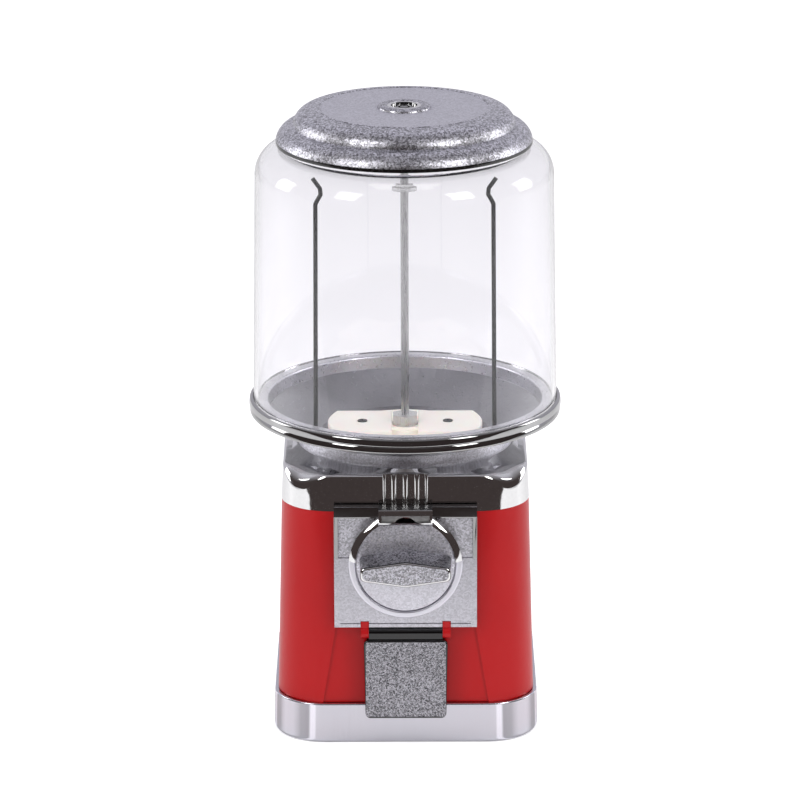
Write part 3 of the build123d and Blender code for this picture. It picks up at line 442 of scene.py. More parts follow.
# Partly the panel's satin finish, partly painted shade: a rougher, darker grey chrome for the slot housing's
# recessed panel.
PANEL_GREY_PAINTED_SHADE = mirror_chrome("panel_grey_painted_shade", 0.45, 0.38)
# Finishes of single nodes that differ from the rest of their slot; some carry painted light or shade, as
# noted at each.
NODE_FINISH = {
    # Painted shade: the door's polished rim and barrel zones take a near-black tone.
    "chute_door": polished_where("door_chrome", DOOR_POLISHED_SHADE_MASKS, 0.50, 0.09, 1250.0, 0.00016, 0.44, 0.06),
    "mech_plate": coin_plate_metal("plate_chrome", plate_high[2] - PANEL_HEIGHT, plate_low[1] + RING_HEIGHT),
    # Painted light: the upright skirt band takes a lighter, rougher copy of the hammered chrome.
    "hopper_skirt": hammered_metal("skirt_painted_light", 0.85, 0.60, 1100.0, 0.00016, 0.48),
    "display_wires": drawn_steel("wire_steel", 0.06, 0.30),
    # Painted shade: the plug in the lid's recess is darkened almost to black.
    "lock_plug": mirror_chrome("plug_painted_shade", 0.26, 0.25),
    "hopper_bowl": cast_metal("bowl_casting", 0.24, 0.32),
}


def dress_frame():
    """Give every CAD node the procedural material of its slot, or its own finish."""
    for part in frame["record"]["subparts"]:
        node = frame["nodes"][part["node"]]
        finish = NODE_FINISH.get(part["node"], MATERIALS[part["material_slot"]])
        for index in range(len(node.material_slots)):
            node.material_slots[index].link = "OBJECT"
            node.material_slots[index].material = finish


dress_frame()


# ------------------------------------------------------------------ mesh helpers
def arc(centre_r, centre_z, radius, start, end, steps=10):
    """Points along an arc in the (r, z) plane; angles in degrees from the +r direction."""
    points = []
    for index in range(steps + 1):
        angle = math.radians(start + (end - start) * index / steps)
        points.append((centre_r + radius * math.cos(angle), centre_z + radius * math.sin(angle)))
    return points


def through(a, b, c, steps=14):
    """Points on the circle arc from a through b to c."""
    (ax, ay), (bx, by), (cx, cy) = a, b, c
    d = 2 * (ax * (by - cy) + bx * (cy - ay) + cx * (ay - by))
    a2, b2, c2 = ax * ax + ay * ay, bx * bx + by * by, cx * cx + cy * cy
    ux = (a2 * (by - cy) + b2 * (cy - ay) + c2 * (ay - by)) / d
    uy = (a2 * (cx - bx) + b2 * (ax - cx) + c2 * (bx - ax)) / d
    radius = math.hypot(ax - ux, ay - uy)
    start = math.degrees(math.atan2(ay - uy, ax - ux))
    middle = math.degrees(math.atan2(by - uy, bx - ux))
    end = math.degrees(math.atan2(cy - uy, cx - ux))
    sweep, half = (end - start) % 360, (middle - start) % 360
    if half > sweep:
        sweep -= 360
    return arc(ux, uy, radius, start, start + sweep, steps)


def new_piece(name, points, faces, body, slot, sharp=32.0):
    """A mesh piece in metres from millimetre points, shaded smooth up to the sharp angle."""
    mesh = bpy.data.meshes.new(name)
    mesh.from_pydata([(x * MM, y * MM, z * MM) for x, y, z in points], [], faces)
    work = bmesh.new()
    work.from_mesh(mesh)
    bmesh.ops.remove_doubles(work, verts=work.verts, dist=1e-6)
    bmesh.ops.recalc_face_normals(work, faces=work.faces)
    work.to_mesh(mesh)
    work.free()
    mesh.shade_smooth()
    mesh.set_sharp_from_angle(angle=math.radians(sharp))
    mesh.materials.append(MATERIALS[slot])
    piece = bpy.data.objects.new(name, mesh)
    bpy.context.scene.collection.objects.link(piece)
    if body:
        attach(piece, body)
    return piece


def between_loops(count, first, second):
    """Faces between two closed loops of points that start at the two indices."""
    return [(first + k, first + (k + 1) % count, second + (k + 1) % count, second + k) for k in range(count)]


def lathe(name, outline, body, slot, segments=256, sharp=32.0):
    """Turn a closed (r, z) outline about the main axis."""
    points, faces = [], []
    for index in range(segments):
        angle = 2 * math.pi * index / segments
        points += [(r * math.cos(angle), r * math.sin(angle), z) for r, z in outline]
    count = len(outline)
    for index in range(segments):
        faces += between_loops(count, index * count, (index + 1) % segments * count)
    return new_piece(name, points, faces, body, slot, sharp)


def block(low, high):
    """A cutter box between two corners, in millimetres."""
    points = [(x, y, z) for z in (low[2], high[2]) for y in (low[1], high[1]) for x in (low[0], high[0])]
    faces = [(0, 1, 3, 2), (4, 5, 7, 6), (0, 1, 5, 4), (2, 3, 7, 6), (0, 2, 6, 4), (1, 3, 7, 5)]
    return new_piece("cutter", points, faces, None, "steel")


def combine(piece, other, operation, sharp=32.0):
    """Apply a boolean of two pieces and throw the second away."""
    modifier = piece.modifiers.new("cut", "BOOLEAN")
    modifier.operation = operation
    modifier.solver = "EXACT"
    modifier.object = other
    graph = bpy.context.evaluated_depsgraph_get()
    mesh = bpy.data.meshes.new_from_object(piece.evaluated_get(graph), depsgraph=graph)
    piece.modifiers.remove(modifier)
    piece.data = mesh
    mesh.set_sharp_from_angle(angle=math.radians(sharp))
    bpy.data.objects.remove(other)


# ------------------------------------------------------------------ visible shells
def extents(node):
    """Largest radius, lowest and highest z of a node, in millimetres."""
    low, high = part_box(node)
    return high[0] / MM, low[2] / MM, high[2] / MM


def paint_where(piece, material, test):
    """Give a second material to the faces whose centre, in millimetres, passes the test."""
    piece.data.materials.append(material)
    index = len(piece.data.materials) - 1
    for face in piece.data.polygons:
        x, y, z = face.center / MM
        if test(x, y, z):
            face.material_index = index


def lid_shell():
    """The pressed lid: a rolled rim, two rounded steps, a fine bead and the flat disc."""
    rim_r, low, _ = extents("lid")
    disc_z = low + 24.5
    outline = [(rim_r - 2.3, low + 7.1), (rim_r - 2.3, low + 0.2), (rim_r - 2.1, low), (rim_r - 0.3, low)]
    outline += [(rim_r - 0.05, low + 0.2), (rim_r - 0.02, low + 1.2), (rim_r - 0.05, low + 2.4)]
    outline += through((rim_r - 0.1, low + 2.6), (rim_r - 3.0, low + 8.5), (rim_r - 10.9, low + 12.5), 22)
    outline += through((rim_r - 12.1, low + 13.2), (rim_r - 14.9, low + 19.7), (rim_r - 23.5, low + 23.7), 22)
    outline += through((LID_DISC_R + 2.4, disc_z), (LID_DISC_R + 1.2, disc_z + 0.5), (LID_DISC_R, disc_z), 8)
    outline += [(LID_DISC_R - 0.5, disc_z - 0.02), (40.0, disc_z), (LOCK_HOLE_R, disc_z)]
    outline += [(LOCK_HOLE_R, disc_z - 2.6), (61.5, disc_z - 2.6), (69.0, low + 20.1)]
    outline += [(72.4, low + 13.1), (81.5, low + 9.1), (81.5, low + 7.1)]
    piece = lathe("lid_shell", outline, "lid_assembly", "hammered_chrome", sharp=26.0)
    piece.data.materials[0] = LID_CHROME
    # Painted shade: a near-black band round the foot of the rim.
    paint_where(piece, EDGE_PAINTED_SHADE, lambda x, y, z: z < low + 2.5)
    paint_where(piece, DISC_CHROME, lambda x, y, z: math.hypot(x, y) < LID_DISC_R - 0.6 and z > disc_z - 0.5)
    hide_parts("lid")


def globe_shell():
    """The clear globe: a slightly tapered wall, a round shoulder and a straight neck."""
    foot_r, low, high = extents("globe")
    wall, bend_r, top_r, neck_r = 3.0, 20.0, foot_r - 2.6, foot_r - 20.5
    shoulder_z = high - 28.0
    neck_angle = math.degrees(math.acos((neck_r - top_r + bend_r) / bend_r))
    steps = 6
    taper, rise = top_r - foot_r, shoulder_z - low
    outline = [(foot_r - wall, low), (foot_r - wall / 2, low), (foot_r, low)]
    outline += [(foot_r + taper * t / steps, low + rise * t / steps) for t in range(1, steps)]
    outline += arc(top_r - bend_r, shoulder_z, bend_r, 0, neck_angle, 26)
    outline += [(neck_r, high - 0.8), (neck_r - 0.8, high)]
    outline += [(neck_r - wall + 0.6, high), (neck_r - wall, high - 0.6)]
    outline += [(neck_r - wall, shoulder_z + bend_r - wall)]
    outline += arc(top_r - bend_r, shoulder_z, bend_r - wall, 88, 0, 24)
    outline += [(top_r - wall - taper * t / steps, shoulder_z - rise * t / steps) for t in range(1, steps)]
    piece = lathe("globe_shell", outline, "housing", "clear_plastic", sharp=40.0)
    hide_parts("globe")


def hopper_ring_shell():
    """The polished ring: two soft beads outside, a groove for the globe and a rolled inner lip."""
    ring_r, low, high = extents("hopper_ring")
    waist_r, waist_z, belly_r = ring_r - 1.1, low + 5.0, ring_r - 0.6
    outline = [(ring_r - 12.0, low + 1.3), (ring_r - 12.0, low), (belly_r - 1.2, low)]
    outline += arc(belly_r - 1.2, low + 1.2, 1.2, -80, 8, 6)
    outline += [(belly_r - 0.6, waist_z - 0.8), (belly_r - 0.9, waist_z - 0.3), (waist_r - 0.4, waist_z)]
    outline += [(ring_r - 0.1, waist_z + 0.5), (ring_r, waist_z + 1.1), (ring_r - 0.4, high - 2.2)]
    outline += arc(ring_r - 2.5, high - 2.1, 2.1, 10, 90, 9)
    groove_outer, groove_inner, groove_z = ring_r - 2.8, ring_r - 6.9, low + 8.6
    outline += [(groove_outer, high), (groove_outer, groove_z)]
    outline += [(groove_inner, groove_z), (groove_inner, high)]
    outline += [(ring_r - 7.2, high), (ring_r - 11.8, high)]
    outline += through((ring_r - 12.0, high), (ring_r - 13.3, high - 0.6), (ring_r - 13.7, high - 2.0), 6)
    outline += [(ring_r - 14.2, low + 1.3)]
    piece = lathe("hopper_ring_shell", outline, "housing", "mirror_chrome", sharp=30.0)
    piece.data.materials[0] = RING_CHROME
    paint_where(piece, LIP_METAL, lambda x, y, z: math.hypot(x, y) < groove_inner + 0.1)
    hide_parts("hopper_ring")


def loop_with_normals(half, radius, corner_steps=28, side_steps=12):
    """A square loop with round corners: points, outward normals, and how deep in a corner each is."""
    rows = []
    inner = half - radius
    for quarter in range(4):
        turn = Matrix.Rotation(math.pi / 2 * quarter, 2)
        for index in range(side_steps):
            point = Vector((half, -inner + 2 * inner * index / side_steps))
            rows.append((turn @ point, turn @ Vector((1, 0)), 0.0))
        for index in range(corner_steps):
            angle = math.pi / 2 * index / corner_steps
            normal = Vector((math.cos(angle), math.sin(angle)))
            point = normal * radius + Vector((inner, inner))
            rows.append((turn @ point, turn @ normal, math.sin(2 * angle) ** 2))
    return rows


def top_cap_shell():
    """The polished cap. Its top edge is crisp along the sides and rolls over softly at the corners."""
    low_box, high_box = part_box("top_cap")
    low, seat_z = low_box[2] / MM, high_box[2] / MM
    top = seat_z - 2.8
    half_low = high_box[0] / MM
    half_top = half_low - 1.4
    rows = loop_with_normals(half_low, CAP_CORNER_R)
    edge = [CAP_EDGE_R + (CAP_CORNER_EDGE_R - CAP_EDGE_R) * depth for _, _, depth in rows]

    def level(inset, drop):
        """One loop at a distance in from the side and below the top, both per point."""
        points = []
        for (place, normal, _), inward, down in zip(rows, inset, drop):
            z = top - down
            lean = (half_low - half_top) * (z - low) / (top - low)
            points.append((*(place - normal * (inward + lean)), z))
        return points

    def constant(value):
        return [value] * len(rows)

    def seat(radius, z):
        """A circle that stays inside the cap's sides."""
        directions = [place.normalized() for place, _, _ in rows]
        return [(*(way * min(radius, SEAT_LIMIT / max(abs(way.x), abs(way.y)))), z) for way in directions]

    full = top - low
    levels = [level(constant(0), constant(full))]
    levels += [level(constant(0), [full + (r - full) * t / 3 for r in edge]) for t in (1, 2)]
    for step in range(15):
        a = math.pi / 2 * step / 14
        levels.append(level([r * (1 - math.cos(a)) for r in edge], [r * (1 - math.sin(a)) for r in edge]))
    levels += [seat(SEAT_FOOT_R, top), seat(SEAT_R + 1.2, seat_z - 0.35), seat(SEAT_R, seat_z)]
    levels += [seat(CAP_BORE_R, seat_z), seat(CAP_BORE_R, top - 2.8)]
    inner_edge = [max(r - CAP_WALL, 0.6) for r in edge]
    for step in range(7):
        a = math.pi / 2 * (6 - step) / 6
        levels.append(level([CAP_WALL + r * (1 - math.cos(a)) for r in inner_edge],
                            [CAP_WALL + 0.3 + r * (1 - math.sin(a)) for r in inner_edge]))
    levels.append(level(constant(CAP_WALL), constant(full)))
    points = [point for loop in levels for point in loop]
    count, faces = len(rows), []
    for index in range(len(levels)):
        faces += between_loops(count, index * count, (index + 1) % len(levels) * count)
    piece = new_piece("top_cap_shell", points, faces, "housing", "mirror_chrome", 30.0)
    front = low_box[1] / MM
    combine(piece, block((-47.5, front, low), (47.5, front + 5.0, low + 3.5)), "UNION", 30.0)
    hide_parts("top_cap")


def coin_guide_shell():
    """A thin plate on the cap's front with five rounded ribs."""
    low_box, high_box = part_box("coin_guide")
    x_half, front, back = high_box[0] / MM, low_box[1] / MM, high_box[1] / MM
    low, high = low_box[2] / MM, high_box[2] / MM
    floor_y = front + 3.0
    places = [(k * RIB_PITCH, RIB_HALF) for k in (-1, 0, 1)]
    places = [(END_RIB_HALF - x_half, END_RIB_HALF)] + places + [(x_half - END_RIB_HALF, END_RIB_HALF)]
    section = []
    for centre, half in places:
        for step in range(13):
            a = math.pi * (1 - step / 12)
            section.append((centre + half * math.cos(a), math.sin(a)))
    levels = [(low, 1.0), (high - 5.0, 0.86), (high - 3.2, 0.76)]
    levels += [(high - 1.4, 0.45), (high - 0.5, 0.15), (high, 0.0)]
    points = []
    for z, reach in levels:
        points += [(x, floor_y - rise * reach * RIB_HEIGHT, z) for x, rise in section]
    count, faces = len(section), []
    for index in range(len(levels) - 1):
        for k in range(count - 1):
            base = index * count + k
            faces.append((base, base + 1, base + 1 + count, base + count))
    back_at = len(points)
    points += [(section[k][0], back, z) for z in (low, high) for k in (0, count - 1)]
    top_row = (len(levels) - 1) * count
    faces.append((back_at, back_at + 1, back_at + 3, back_at + 2))
    faces.append(tuple(range(count)) + (back_at + 1, back_at))
    faces.append(tuple(top_row + k for k in range(count)) + (back_at + 3, back_at + 2))
    rows_down = range(len(levels) - 1, -1, -1)
    faces.append((back_at, back_at + 2) + tuple(index * count for index in rows_down))
    faces.append((back_at + 1, back_at + 3) + tuple(index * count + count - 1 for index in rows_down))
    piece = new_piece("coin_guide_shell", points, faces, "housing", "mirror_chrome", 40.0)
    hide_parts("coin_guide")


def lens_outline(half, mid, end, radius, steps=8):
    """The grip's plan: a long hexagon with round ends, in (x, z) about the handle axis."""
    corners = [(-half, -end), (0, -mid), (half, -end), (half, end), (0, mid), (-half, end)]
    points = []
    for index, here in enumerate(corners):
        if abs(here[0]) < 1e-6:
            points.append(here)
            continue
        before, after = Vector(corners[index - 1]), Vector(corners[(index + 1) % 6])
        here = Vector(here)
        start = here + (before - here).normalized() * radius
        finish = here + (after - here).normalized() * radius
        for step in range(steps + 1):
            t = step / steps
            points.append(tuple(start * (1 - t) ** 2 + here * 2 * t * (1 - t) + finish * t * t))
    return points


def along_y(name, outlines, body, slot, sharp):
    """A closed form through outlines in (x, z) at depths y, capped at both ends."""
    points = [(x, y, z) for outline, y in outlines for x, z in outline]
    count, faces = len(outlines[0][0]), []
    for index in range(len(outlines) - 1):
        faces += between_loops(count, index * count, (index + 1) * count)
    faces.append(tuple(range(count)))
    faces.append(tuple((len(outlines) - 1) * count + k for k in range(count)))
    return new_piece(name, points, faces, body, slot, sharp)


def dial_outline(radius, flat):
    """The dial's plan about its axis: a circle with a flat at the top."""
    start = math.degrees(math.asin(flat / radius))
    return arc(0, 0, radius, 180 - start, 360 + start, 96)


def handle_shell():
    """The dial with its grip bar: pebbled faces, and a polished rounded edge round the grip's face; painted
    shade on the grip's upward sides and on the back of that edge.
    """
    low_box, high_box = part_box("handle")
    front, back = low_box[1] / MM, high_box[1] / MM
    axis_z = low_box[2] / MM + DIAL_R
    dial_front = front + GRIP_HEIGHT

    def placed(outline):
        return [(x, z + axis_z) for x, z in outline]

    dial = []
    dial_back = dial_front + DIAL_DEPTH
    for inset, y in ((0.6, dial_back), (0.0, dial_back - 0.6), (0.0, dial_front + 0.8)):
        dial.append((placed(dial_outline(DIAL_R - inset, DIAL_FLAT - inset)), y))
    for a in (30, 60, 90):
        inset = 0.8 * (1 - math.cos(math.radians(a)))
        y = dial_front + 0.8 * (1 - math.sin(math.radians(a)))
        dial.append((placed(dial_outline(DIAL_R - inset, DIAL_FLAT - inset)), y))
    piece = along_y("handle_shell", dial, "handle_assembly", "hammered_chrome", 40.0)
    grip = []
    root_y, neck_y = dial_front + 1.0, front + GRIP_ROUND
    sizes = [((32.2, 12.2, 5.8), root_y), ((31.9, 11.4, 5.5), root_y - 5.0), ((31.35, 9.4, 4.7), neck_y)]
    for (half, mid, end), y in sizes:
        grip.append((placed(lens_outline(half, mid, end, 3.6)), y))
    for a in (22, 45, 68, 90):
        inset = GRIP_ROUND * (1 - math.cos(math.radians(a)))
        y = neck_y - GRIP_ROUND * math.sin(math.radians(a))
        grip.append((placed(lens_outline(31.3 - inset, 9.3 - inset, 4.7 - inset * 0.8, 3.4)), y))
    face = lens_outline(29.5, 7.5, 3.3, 2.8)
    grip.append((placed(face), front + 0.35))
    bar = along_y("grip", grip, None, "hammered_chrome", 35.0)
    finishes = [DIAL_CHROME_PAINTED_LIGHT, EDGE_CHROME, BOLD_CHROME, EDGE_PAINTED_SHADE, SLOPE_PAINTED_SHADE]
    _, edge, face_finish, shade, slope = range(len(finishes))
    for part in (piece, bar):
        part.data.materials.clear()
        for material in finishes:
            part.data.materials.append(material)
    # Painted shade: the grip's upward sides take a darker pebbled copy, and the back of its rounded edge
    # near-black chrome.
    for polygon in bar.data.polygons:
        y = polygon.center.y / MM
        if y > neck_y and polygon.normal.z > 0.3:
            polygon.material_index = slope
        if y < neck_y + 0.1:
            polygon.material_index = shade if y > front + 0.55 else edge
        if polygon.normal.y < -0.95 and y > front + 0.3 and len(polygon.vertices) > 8:
            polygon.material_index = face_finish
    combine(piece, bar, "UNION", 35.0)
    boss = [(arc(0, axis_z, 9.0, 0, 357, 48), y) for y in (dial_back - 0.5, back)]
    combine(piece, along_y("boss", boss, None, "hammered_chrome", 35.0), "UNION", 35.0)
    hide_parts("handle")


def ring_sweep(name, radius_in, radius_out, y_root, y_front, start, end, body, slot, steps=96):
    """Part of a ring about the handle axis whose front falls back towards its outer edge."""
    axis_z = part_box("handle")[0][2] / MM + DIAL_R
    section = [(radius_in, y_root), (radius_in, y_front + 0.5), (radius_in + 0.15, y_front + 0.15)]
    for step in range(1, 13):
        across = step / 12
        y = y_front + HOOD_SLOPE * (0.65 * across + 0.35 * across ** 3)
        section.append((radius_in + (radius_out - radius_in) * across, y))
    section.append((radius_out, y_root))
    points, faces, count = [], [], len(section)
    for index in range(steps + 1):
        a = math.radians(start + (end - start) * index / steps)
        points += [(r * math.cos(a), y, axis_z + r * math.sin(a)) for r, y in section]
    for index in range(steps):
        faces += between_loops(count, index * count, (index + 1) * count)
    faces.append(tuple(range(count)))
    faces.append(tuple(steps * count + k for k in range(count)))
    return new_piece(name, points, faces, body, slot, 35.0)


def slot_room():
    """A cutter that leaves room for the slot housing between other shells."""
    low_box, high_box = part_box("slot_housing")
    below, above = low_box[2] / MM - 20.0, high_box[2] / MM + 20.0
    return block((low_box[0] / MM - GAP, FAR_FRONT, below), (high_box[0] / MM + GAP, FAR_BACK, above))


def collar_hood_shell():
    """The polished half-round hood, in two arms that end at the coin slot's housing."""
    low_box, high_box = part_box("collar_hood")
    outer, front, root = high_box[0] / MM, low_box[1] / MM, high_box[1] / MM
    start, end = HOOD_ARM
    ring = (outer - HOOD_WIDTH, outer, root, front)
    piece = ring_sweep("collar_hood_shell", *ring, start, end, "housing", "mirror_chrome")
    arm = ring_sweep("arm", *ring, 180 - end, 180 - start, None, "mirror_chrome")
    combine(piece, arm, "UNION", 35.0)
    combine(piece, slot_room(), "DIFFERENCE", 35.0)
    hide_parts("collar_hood")


def bar_along_x(name, half, side_view, body, slot):
    """A bar between -half and half with a side view in (y, z)."""
    points = [(x, y, z) for x in (-half, half) for y, z in side_view]
    count = len(side_view)
    faces = between_loops(count, 0, count) + [tuple(range(count)), tuple(range(count, 2 * count))]
    return new_piece(name, points, faces, body, slot, 30.0)


def handle_axis_cylinder(radius, front, back):
    """A cutter round the handle's axis."""
    axis_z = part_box("handle")[0][2] / MM + DIAL_R
    ring = [(x, z + axis_z) for x, z in arc(0, 0, radius, 0, 357, 119)]
    return along_y("cutter", [(ring, front), (ring, back)], None, "steel", 30.0)


def border_frame_shell():
    """The polished border: a sloping top bar and two flat side strips with fine bright edges."""
    low_box, high_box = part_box("border_frame")
    half, crest, back = high_box[0] / MM, low_box[1] / MM, high_box[1] / MM
    low, high = low_box[2] / MM, high_box[2] / MM
    sill = high - 7.7
    front_back = crest + 2.55
    top_view = [(back, high), (crest + 2.5, high), (crest + 2.1, high - 0.3), (crest + 0.2, high - 6.4)]
    top_view += [(crest, high - 6.8), (crest + 0.1, sill + 0.2), (crest + 0.3, sill), (front_back, sill)]
    top_view += [(front_back, high - 2.95), (back, high - 2.95)]
    piece = bar_along_x("border_frame_shell", half, top_view, "housing", "mirror_chrome")
    for side in (-1, 1):
        strip = [(half - 3.0, front_back), (half - 3.0, crest + 0.3), (half - 2.8, crest + 0.1)]
        strip += [(half - 0.4, crest), (half, crest + 0.4), (half, front_back)]
        levels = [(side * x, y, z) for z in (low, sill + 0.5) for x, y in strip]
        count = len(strip)
        faces = between_loops(count, 0, count) + [tuple(range(count)), tuple(range(count, 2 * count))]
        combine(piece, new_piece("strip", levels, faces, None, "mirror_chrome"), "UNION", 30.0)
    combine(piece, slot_room(), "DIFFERENCE", 30.0)
    hood_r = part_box("collar_hood")[1][0] / MM + GAP
    combine(piece, handle_axis_cylinder(hood_r, FAR_FRONT, FAR_BACK), "DIFFERENCE", 30.0)
    # Painted shade: the frame takes the darkened chrome.
    piece.data.materials[0] = FRAME_CHROME_PAINTED_SHADE
    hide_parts("border_frame")


def slot_housing_shell():
    """The box that takes the coin: a polished rim round a satin grey panel, darkened as painted shade, with
    the slot at its foot; its upward faces carry painted shade.
    """
    low_box, high_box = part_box("slot_housing")
    half, front, back = high_box[0] / MM, low_box[1] / MM, high_box[1] / MM
    low, high = low_box[2] / MM, high_box[2] / MM
    side_view = [(back, low), (front + 0.8, low), (front + 0.2, low + 0.5), (front, low + 1.4)]
    side_view += [(front + 0.5, high - 0.9), (front + 0.9, high - 0.25), (front + 1.5, high), (back, high)]
    piece = bar_along_x("slot_housing_shell", half, side_view, "housing", "mirror_chrome")
    sill, head = low + 1.6, high - 4.2
    panel_view = [(front - 2, sill), (front + 1.6, sill), (front + 1.9, head), (front - 2, head)]
    panel = bar_along_x("panel", half - 2.0, panel_view, None, "mirror_chrome")
    for part in (piece, panel):
        part.data.materials.append(PANEL_GREY_PAINTED_SHADE)
        part.data.materials.append(EDGE_PAINTED_SHADE)
    # Painted shade: the box's upward faces take the near-black chrome.
    for polygon in piece.data.polygons:
        if polygon.normal.z > 0.9:
            polygon.material_index = 2
    for polygon in panel.data.polygons:
        polygon.material_index = 1
    combine(piece, panel, "DIFFERENCE", 30.0)
    opening = along_y("cutter", [(arc(0, low - 4.0, 9.2, 2, 178, 60), y) for y in (front - 2, front + 5)],
                      None, "steel", 30.0)
    combine(piece, opening, "DIFFERENCE", 30.0)
    combine(piece, block((-14.3, -96.0, low - 2), (14.3, -85.0, low + 2.0)), "DIFFERENCE", 30.0)
    dial_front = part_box("handle")[0][1] / MM + GRIP_HEIGHT
    combine(piece, handle_axis_cylinder(DIAL_R + 0.6, dial_front - 0.5, -91.0), "DIFFERENCE", 30.0)
    combine(piece, handle_axis_cylinder(GRIP_ROOM_R, FAR_FRONT, dial_front), "DIFFERENCE", 30.0)
    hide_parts("slot_housing")


lid_shell()
globe_shell()
hopper_ring_shell()
top_cap_shell()
coin_guide_shell()
handle_shell()
collar_hood_shell()
border_frame_shell()
slot_housing_shell()

# ------------------------------------------------------------------ stage, light and camera
WHITE = (1.0, 1.0, 1.0, 1.0)
FILL = 0.62               # strength of the even light on matt surfaces
BEHIND = (0.60, 0.59, 0.65, 1.0)      # the pale wall behind the object, seen in reflections
CEILING = (0.30, 0.29, 0.31, 1.0)
DARK_SIDE = (0.056, 0.044, 0.043, 1.0)  # the unlit room beside and before the object
CEILING_FROM = (0.30, 0.75)           # heights of a reflected direction between room and ceiling
BEHIND_FROM = (0.05, 0.40)            # how far a direction points backwards, between room and wall
TABLE_EDGE = (-0.57, -0.54)           # y in metres where the pale floor ends for reflections
FLOOR_GLOW = 0.45                     # keeps the floor white to the camera
GLOBE_SHARE = 0.30                    # share of that glow seen through the clear globe


def ray_kinds(n):
    """1 for a ray from a shiny surface but not through the globe; 1 for one from a matt surface."""
    path = n.new("ShaderNodeLightPath")
    inverse = n.new("ShaderNodeMath")
    inverse.operation = "SUBTRACT"
    inverse.inputs[0].default_value = 1.0
    both = n.new("ShaderNodeMath")
    both.operation = "MULTIPLY"
    links = path.id_data.links
    links.new(path.outputs["Is Transmission Ray"], inverse.inputs[1])
    links.new(path.outputs["Is Glossy Ray"], both.inputs[0])
    links.new(inverse.outputs["Value"], both.inputs[1])
    return both.outputs["Value"], path.outputs["Is Diffuse Ray"]


def eased(tree, value, limits):
    """0 below the lower limit, 1 above the upper one, smooth between."""
    node = tree.nodes.new("ShaderNodeMapRange")
    node.interpolation_type = "SMOOTHSTEP"
    node.inputs["From Min"].default_value, node.inputs["From Max"].default_value = limits
    tree.links.new(value, node.inputs["Value"])
    return node.outputs["Result"]


def mixed(tree, share, first, second):
    """A colour between two, each a constant or a socket."""
    node = tree.nodes.new("ShaderNodeMix")
    node.data_type = "RGBA"
    tree.links.new(share, node.inputs[0])
    for socket, colour in ((node.inputs[6], first), (node.inputs[7], second)):
        if isinstance(colour, tuple):
            socket.default_value = colour
        else:
            tree.links.new(colour, socket)
    return node.outputs[2]


def studio_world():
    """White to the camera, a dim even fill, and a room with a pale wall behind to reflections."""
    world = bpy.data.worlds.new("studio")
    bpy.context.scene.world = world
    world.use_nodes = True
    tree = world.node_tree
    background = tree.nodes["Background"]
    place = tree.nodes.new("ShaderNodeTexCoord")
    split = tree.nodes.new("ShaderNodeSeparateXYZ")
    tree.links.new(place.outputs["Generated"], split.inputs["Vector"])
    room = mixed(tree, eased(tree, split.outputs["Z"], CEILING_FROM), DARK_SIDE, CEILING)
    room = mixed(tree, eased(tree, split.outputs["Y"], BEHIND_FROM), room, BEHIND)
    shiny, matt = ray_kinds(tree.nodes)
    tree.links.new(mixed(tree, shiny, WHITE, room), background.inputs["Color"])
    strength = tree.nodes.new("ShaderNodeMapRange")
    strength.inputs["To Min"].default_value = 1.0
    strength.inputs["To Max"].default_value = FILL
    tree.links.new(matt, strength.inputs["Value"])
    tree.links.new(strength.outputs["Result"], background.inputs["Strength"])


def studio_floor():
    """A pale floor. In front it ends for reflections, which see a dark table beyond the edge."""
    reach = 8.0
    mesh = bpy.data.meshes.new("floor")
    corners = [(-reach, -reach, 0), (reach, -reach, 0), (reach, reach, 0), (-reach, reach, 0)]
    mesh.from_pydata(corners, [], [(0, 1, 2, 3)])
    floor = bpy.data.objects.new("floor", mesh)
    bpy.context.scene.collection.objects.link(floor)
    n = Nodes("pale_floor")
    grain = n.noise(3.0, 2.0)
    n.drive("Base Color", n.ramp(grain, [(0.3, (0.93, 0.925, 0.94)), (0.7, (0.95, 0.945, 0.96))]))
    n.set(Roughness=0.6, Specular_IOR_Level=0.2)
    split = n.add("ShaderNodeSeparateXYZ")
    n.link(n.place, split.inputs["Vector"])
    before_edge = eased(n.tree, split.outputs["Y"], TABLE_EDGE)
    shiny, _ = ray_kinds(n.tree.nodes)
    beyond = n.add("ShaderNodeMath", operation="SUBTRACT")
    n.link(shiny, beyond.inputs[0])
    n.link(before_edge, beyond.inputs[1])
    beyond.use_clamp = True
    table = n.add("ShaderNodeEmission")
    table.inputs["Color"].default_value = DARK_SIDE
    mix = n.add("ShaderNodeMixShader")
    n.link(beyond.outputs["Value"], mix.inputs["Fac"])
    n.link(n.shader.outputs["BSDF"], mix.inputs[1])
    n.link(table.outputs["Emission"], mix.inputs[2])
    paths = n.add("ShaderNodeLightPath")
    through_globe = n.add("ShaderNodeMath", operation="MULTIPLY_ADD")
    n.link(paths.outputs["Is Transmission Ray"], through_globe.inputs[0])
    through_globe.inputs[1].default_value = GLOBE_SHARE
    n.link(paths.outputs["Is Camera Ray"], through_globe.inputs[2])
    n.set(Emission_Color=WHITE)
    n.drive("Emission Strength", n.span(through_globe.outputs["Value"], 0.0, FLOOR_GLOW, 0.0, 1.0))
    n.link(mix.outputs["Shader"], n.output.inputs["Surface"])
    mesh.materials.append(n.material)


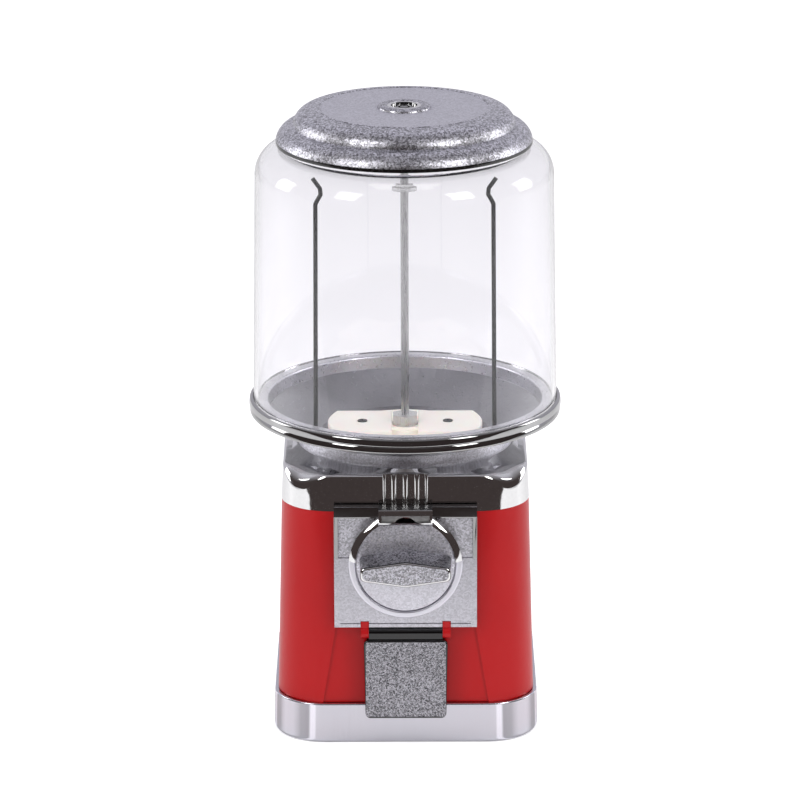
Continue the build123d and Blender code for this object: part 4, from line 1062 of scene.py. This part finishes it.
def softbox(name, azimuth, elevation, distance, size, power):
    """A rectangular lamp aimed at the globe; azimuth 0 stands at the camera, 90 at the right."""
    lamp = bpy.data.lights.new(name, "AREA")
    lamp.shape = "RECTANGLE"
    lamp.size, lamp.size_y = size
    lamp.energy = power
    obj = bpy.data.objects.new(name, lamp)
    a, e = math.radians(azimuth), math.radians(elevation)
    offset = Vector((math.sin(a) * math.cos(e), -math.cos(a) * math.cos(e), math.sin(e))) * distance
    obj.location = Vector((0, 0, 0.25)) + offset
    obj.rotation_euler = (-offset).to_track_quat("-Z", "Y").to_euler()
    bpy.context.scene.collection.objects.link(obj)
    return obj


LAMP_DISTANCE = 1.8       # in metres
LAMP_SIZE = (0.50, 0.85)
TOP_SIZE = (0.9, 0.9)


def studio_lights():
    """Two lamps in front, two at the sides, and one above that reflections don't see."""
    for side in (-1, 1):
        softbox(f"key_{side}", side * 46, 30, LAMP_DISTANCE, LAMP_SIZE, 8)
        softbox(f"wing_{side}", side * 104, 15, LAMP_DISTANCE, LAMP_SIZE, 6)
    top = softbox("top", 0, 86, LAMP_DISTANCE + 0.1, TOP_SIZE, 9)
    top.visible_glossy = False


VIEW_ELEVATION = math.radians(17.0)
VIEW_DISTANCE = 3.5
VIEW_TARGET = Vector((0.0, 0.0, 0.2234))
VIEW_WIDTH = 0.56537      # metres that the picture shows across, at the object
OFF_CENTRE = 0.00625      # how far right of the middle the object stands, as a share of the width
CAMERA_ROLL = math.radians(-0.18)


def camera():
    """A long lens in front of the object, looking down a little."""
    data = bpy.data.cameras.new("camera")
    data.sensor_width = 36.0
    data.lens = VIEW_DISTANCE * data.sensor_width / VIEW_WIDTH
    data.shift_x = -OFF_CENTRE
    obj = bpy.data.objects.new("camera", data)
    away = Vector((0, -math.cos(VIEW_ELEVATION), math.sin(VIEW_ELEVATION))) * VIEW_DISTANCE
    obj.location = VIEW_TARGET + away
    roll = Matrix.Rotation(CAMERA_ROLL, 4, "Z")
    obj.rotation_euler = ((-away).to_track_quat("-Z", "Y").to_matrix().to_4x4() @ roll).to_euler()
    bpy.context.scene.collection.objects.link(obj)
    bpy.context.scene.camera = obj


studio_world()
studio_floor()
studio_lights()
camera()
bpy.context.scene.view_settings.view_transform = "Standard"
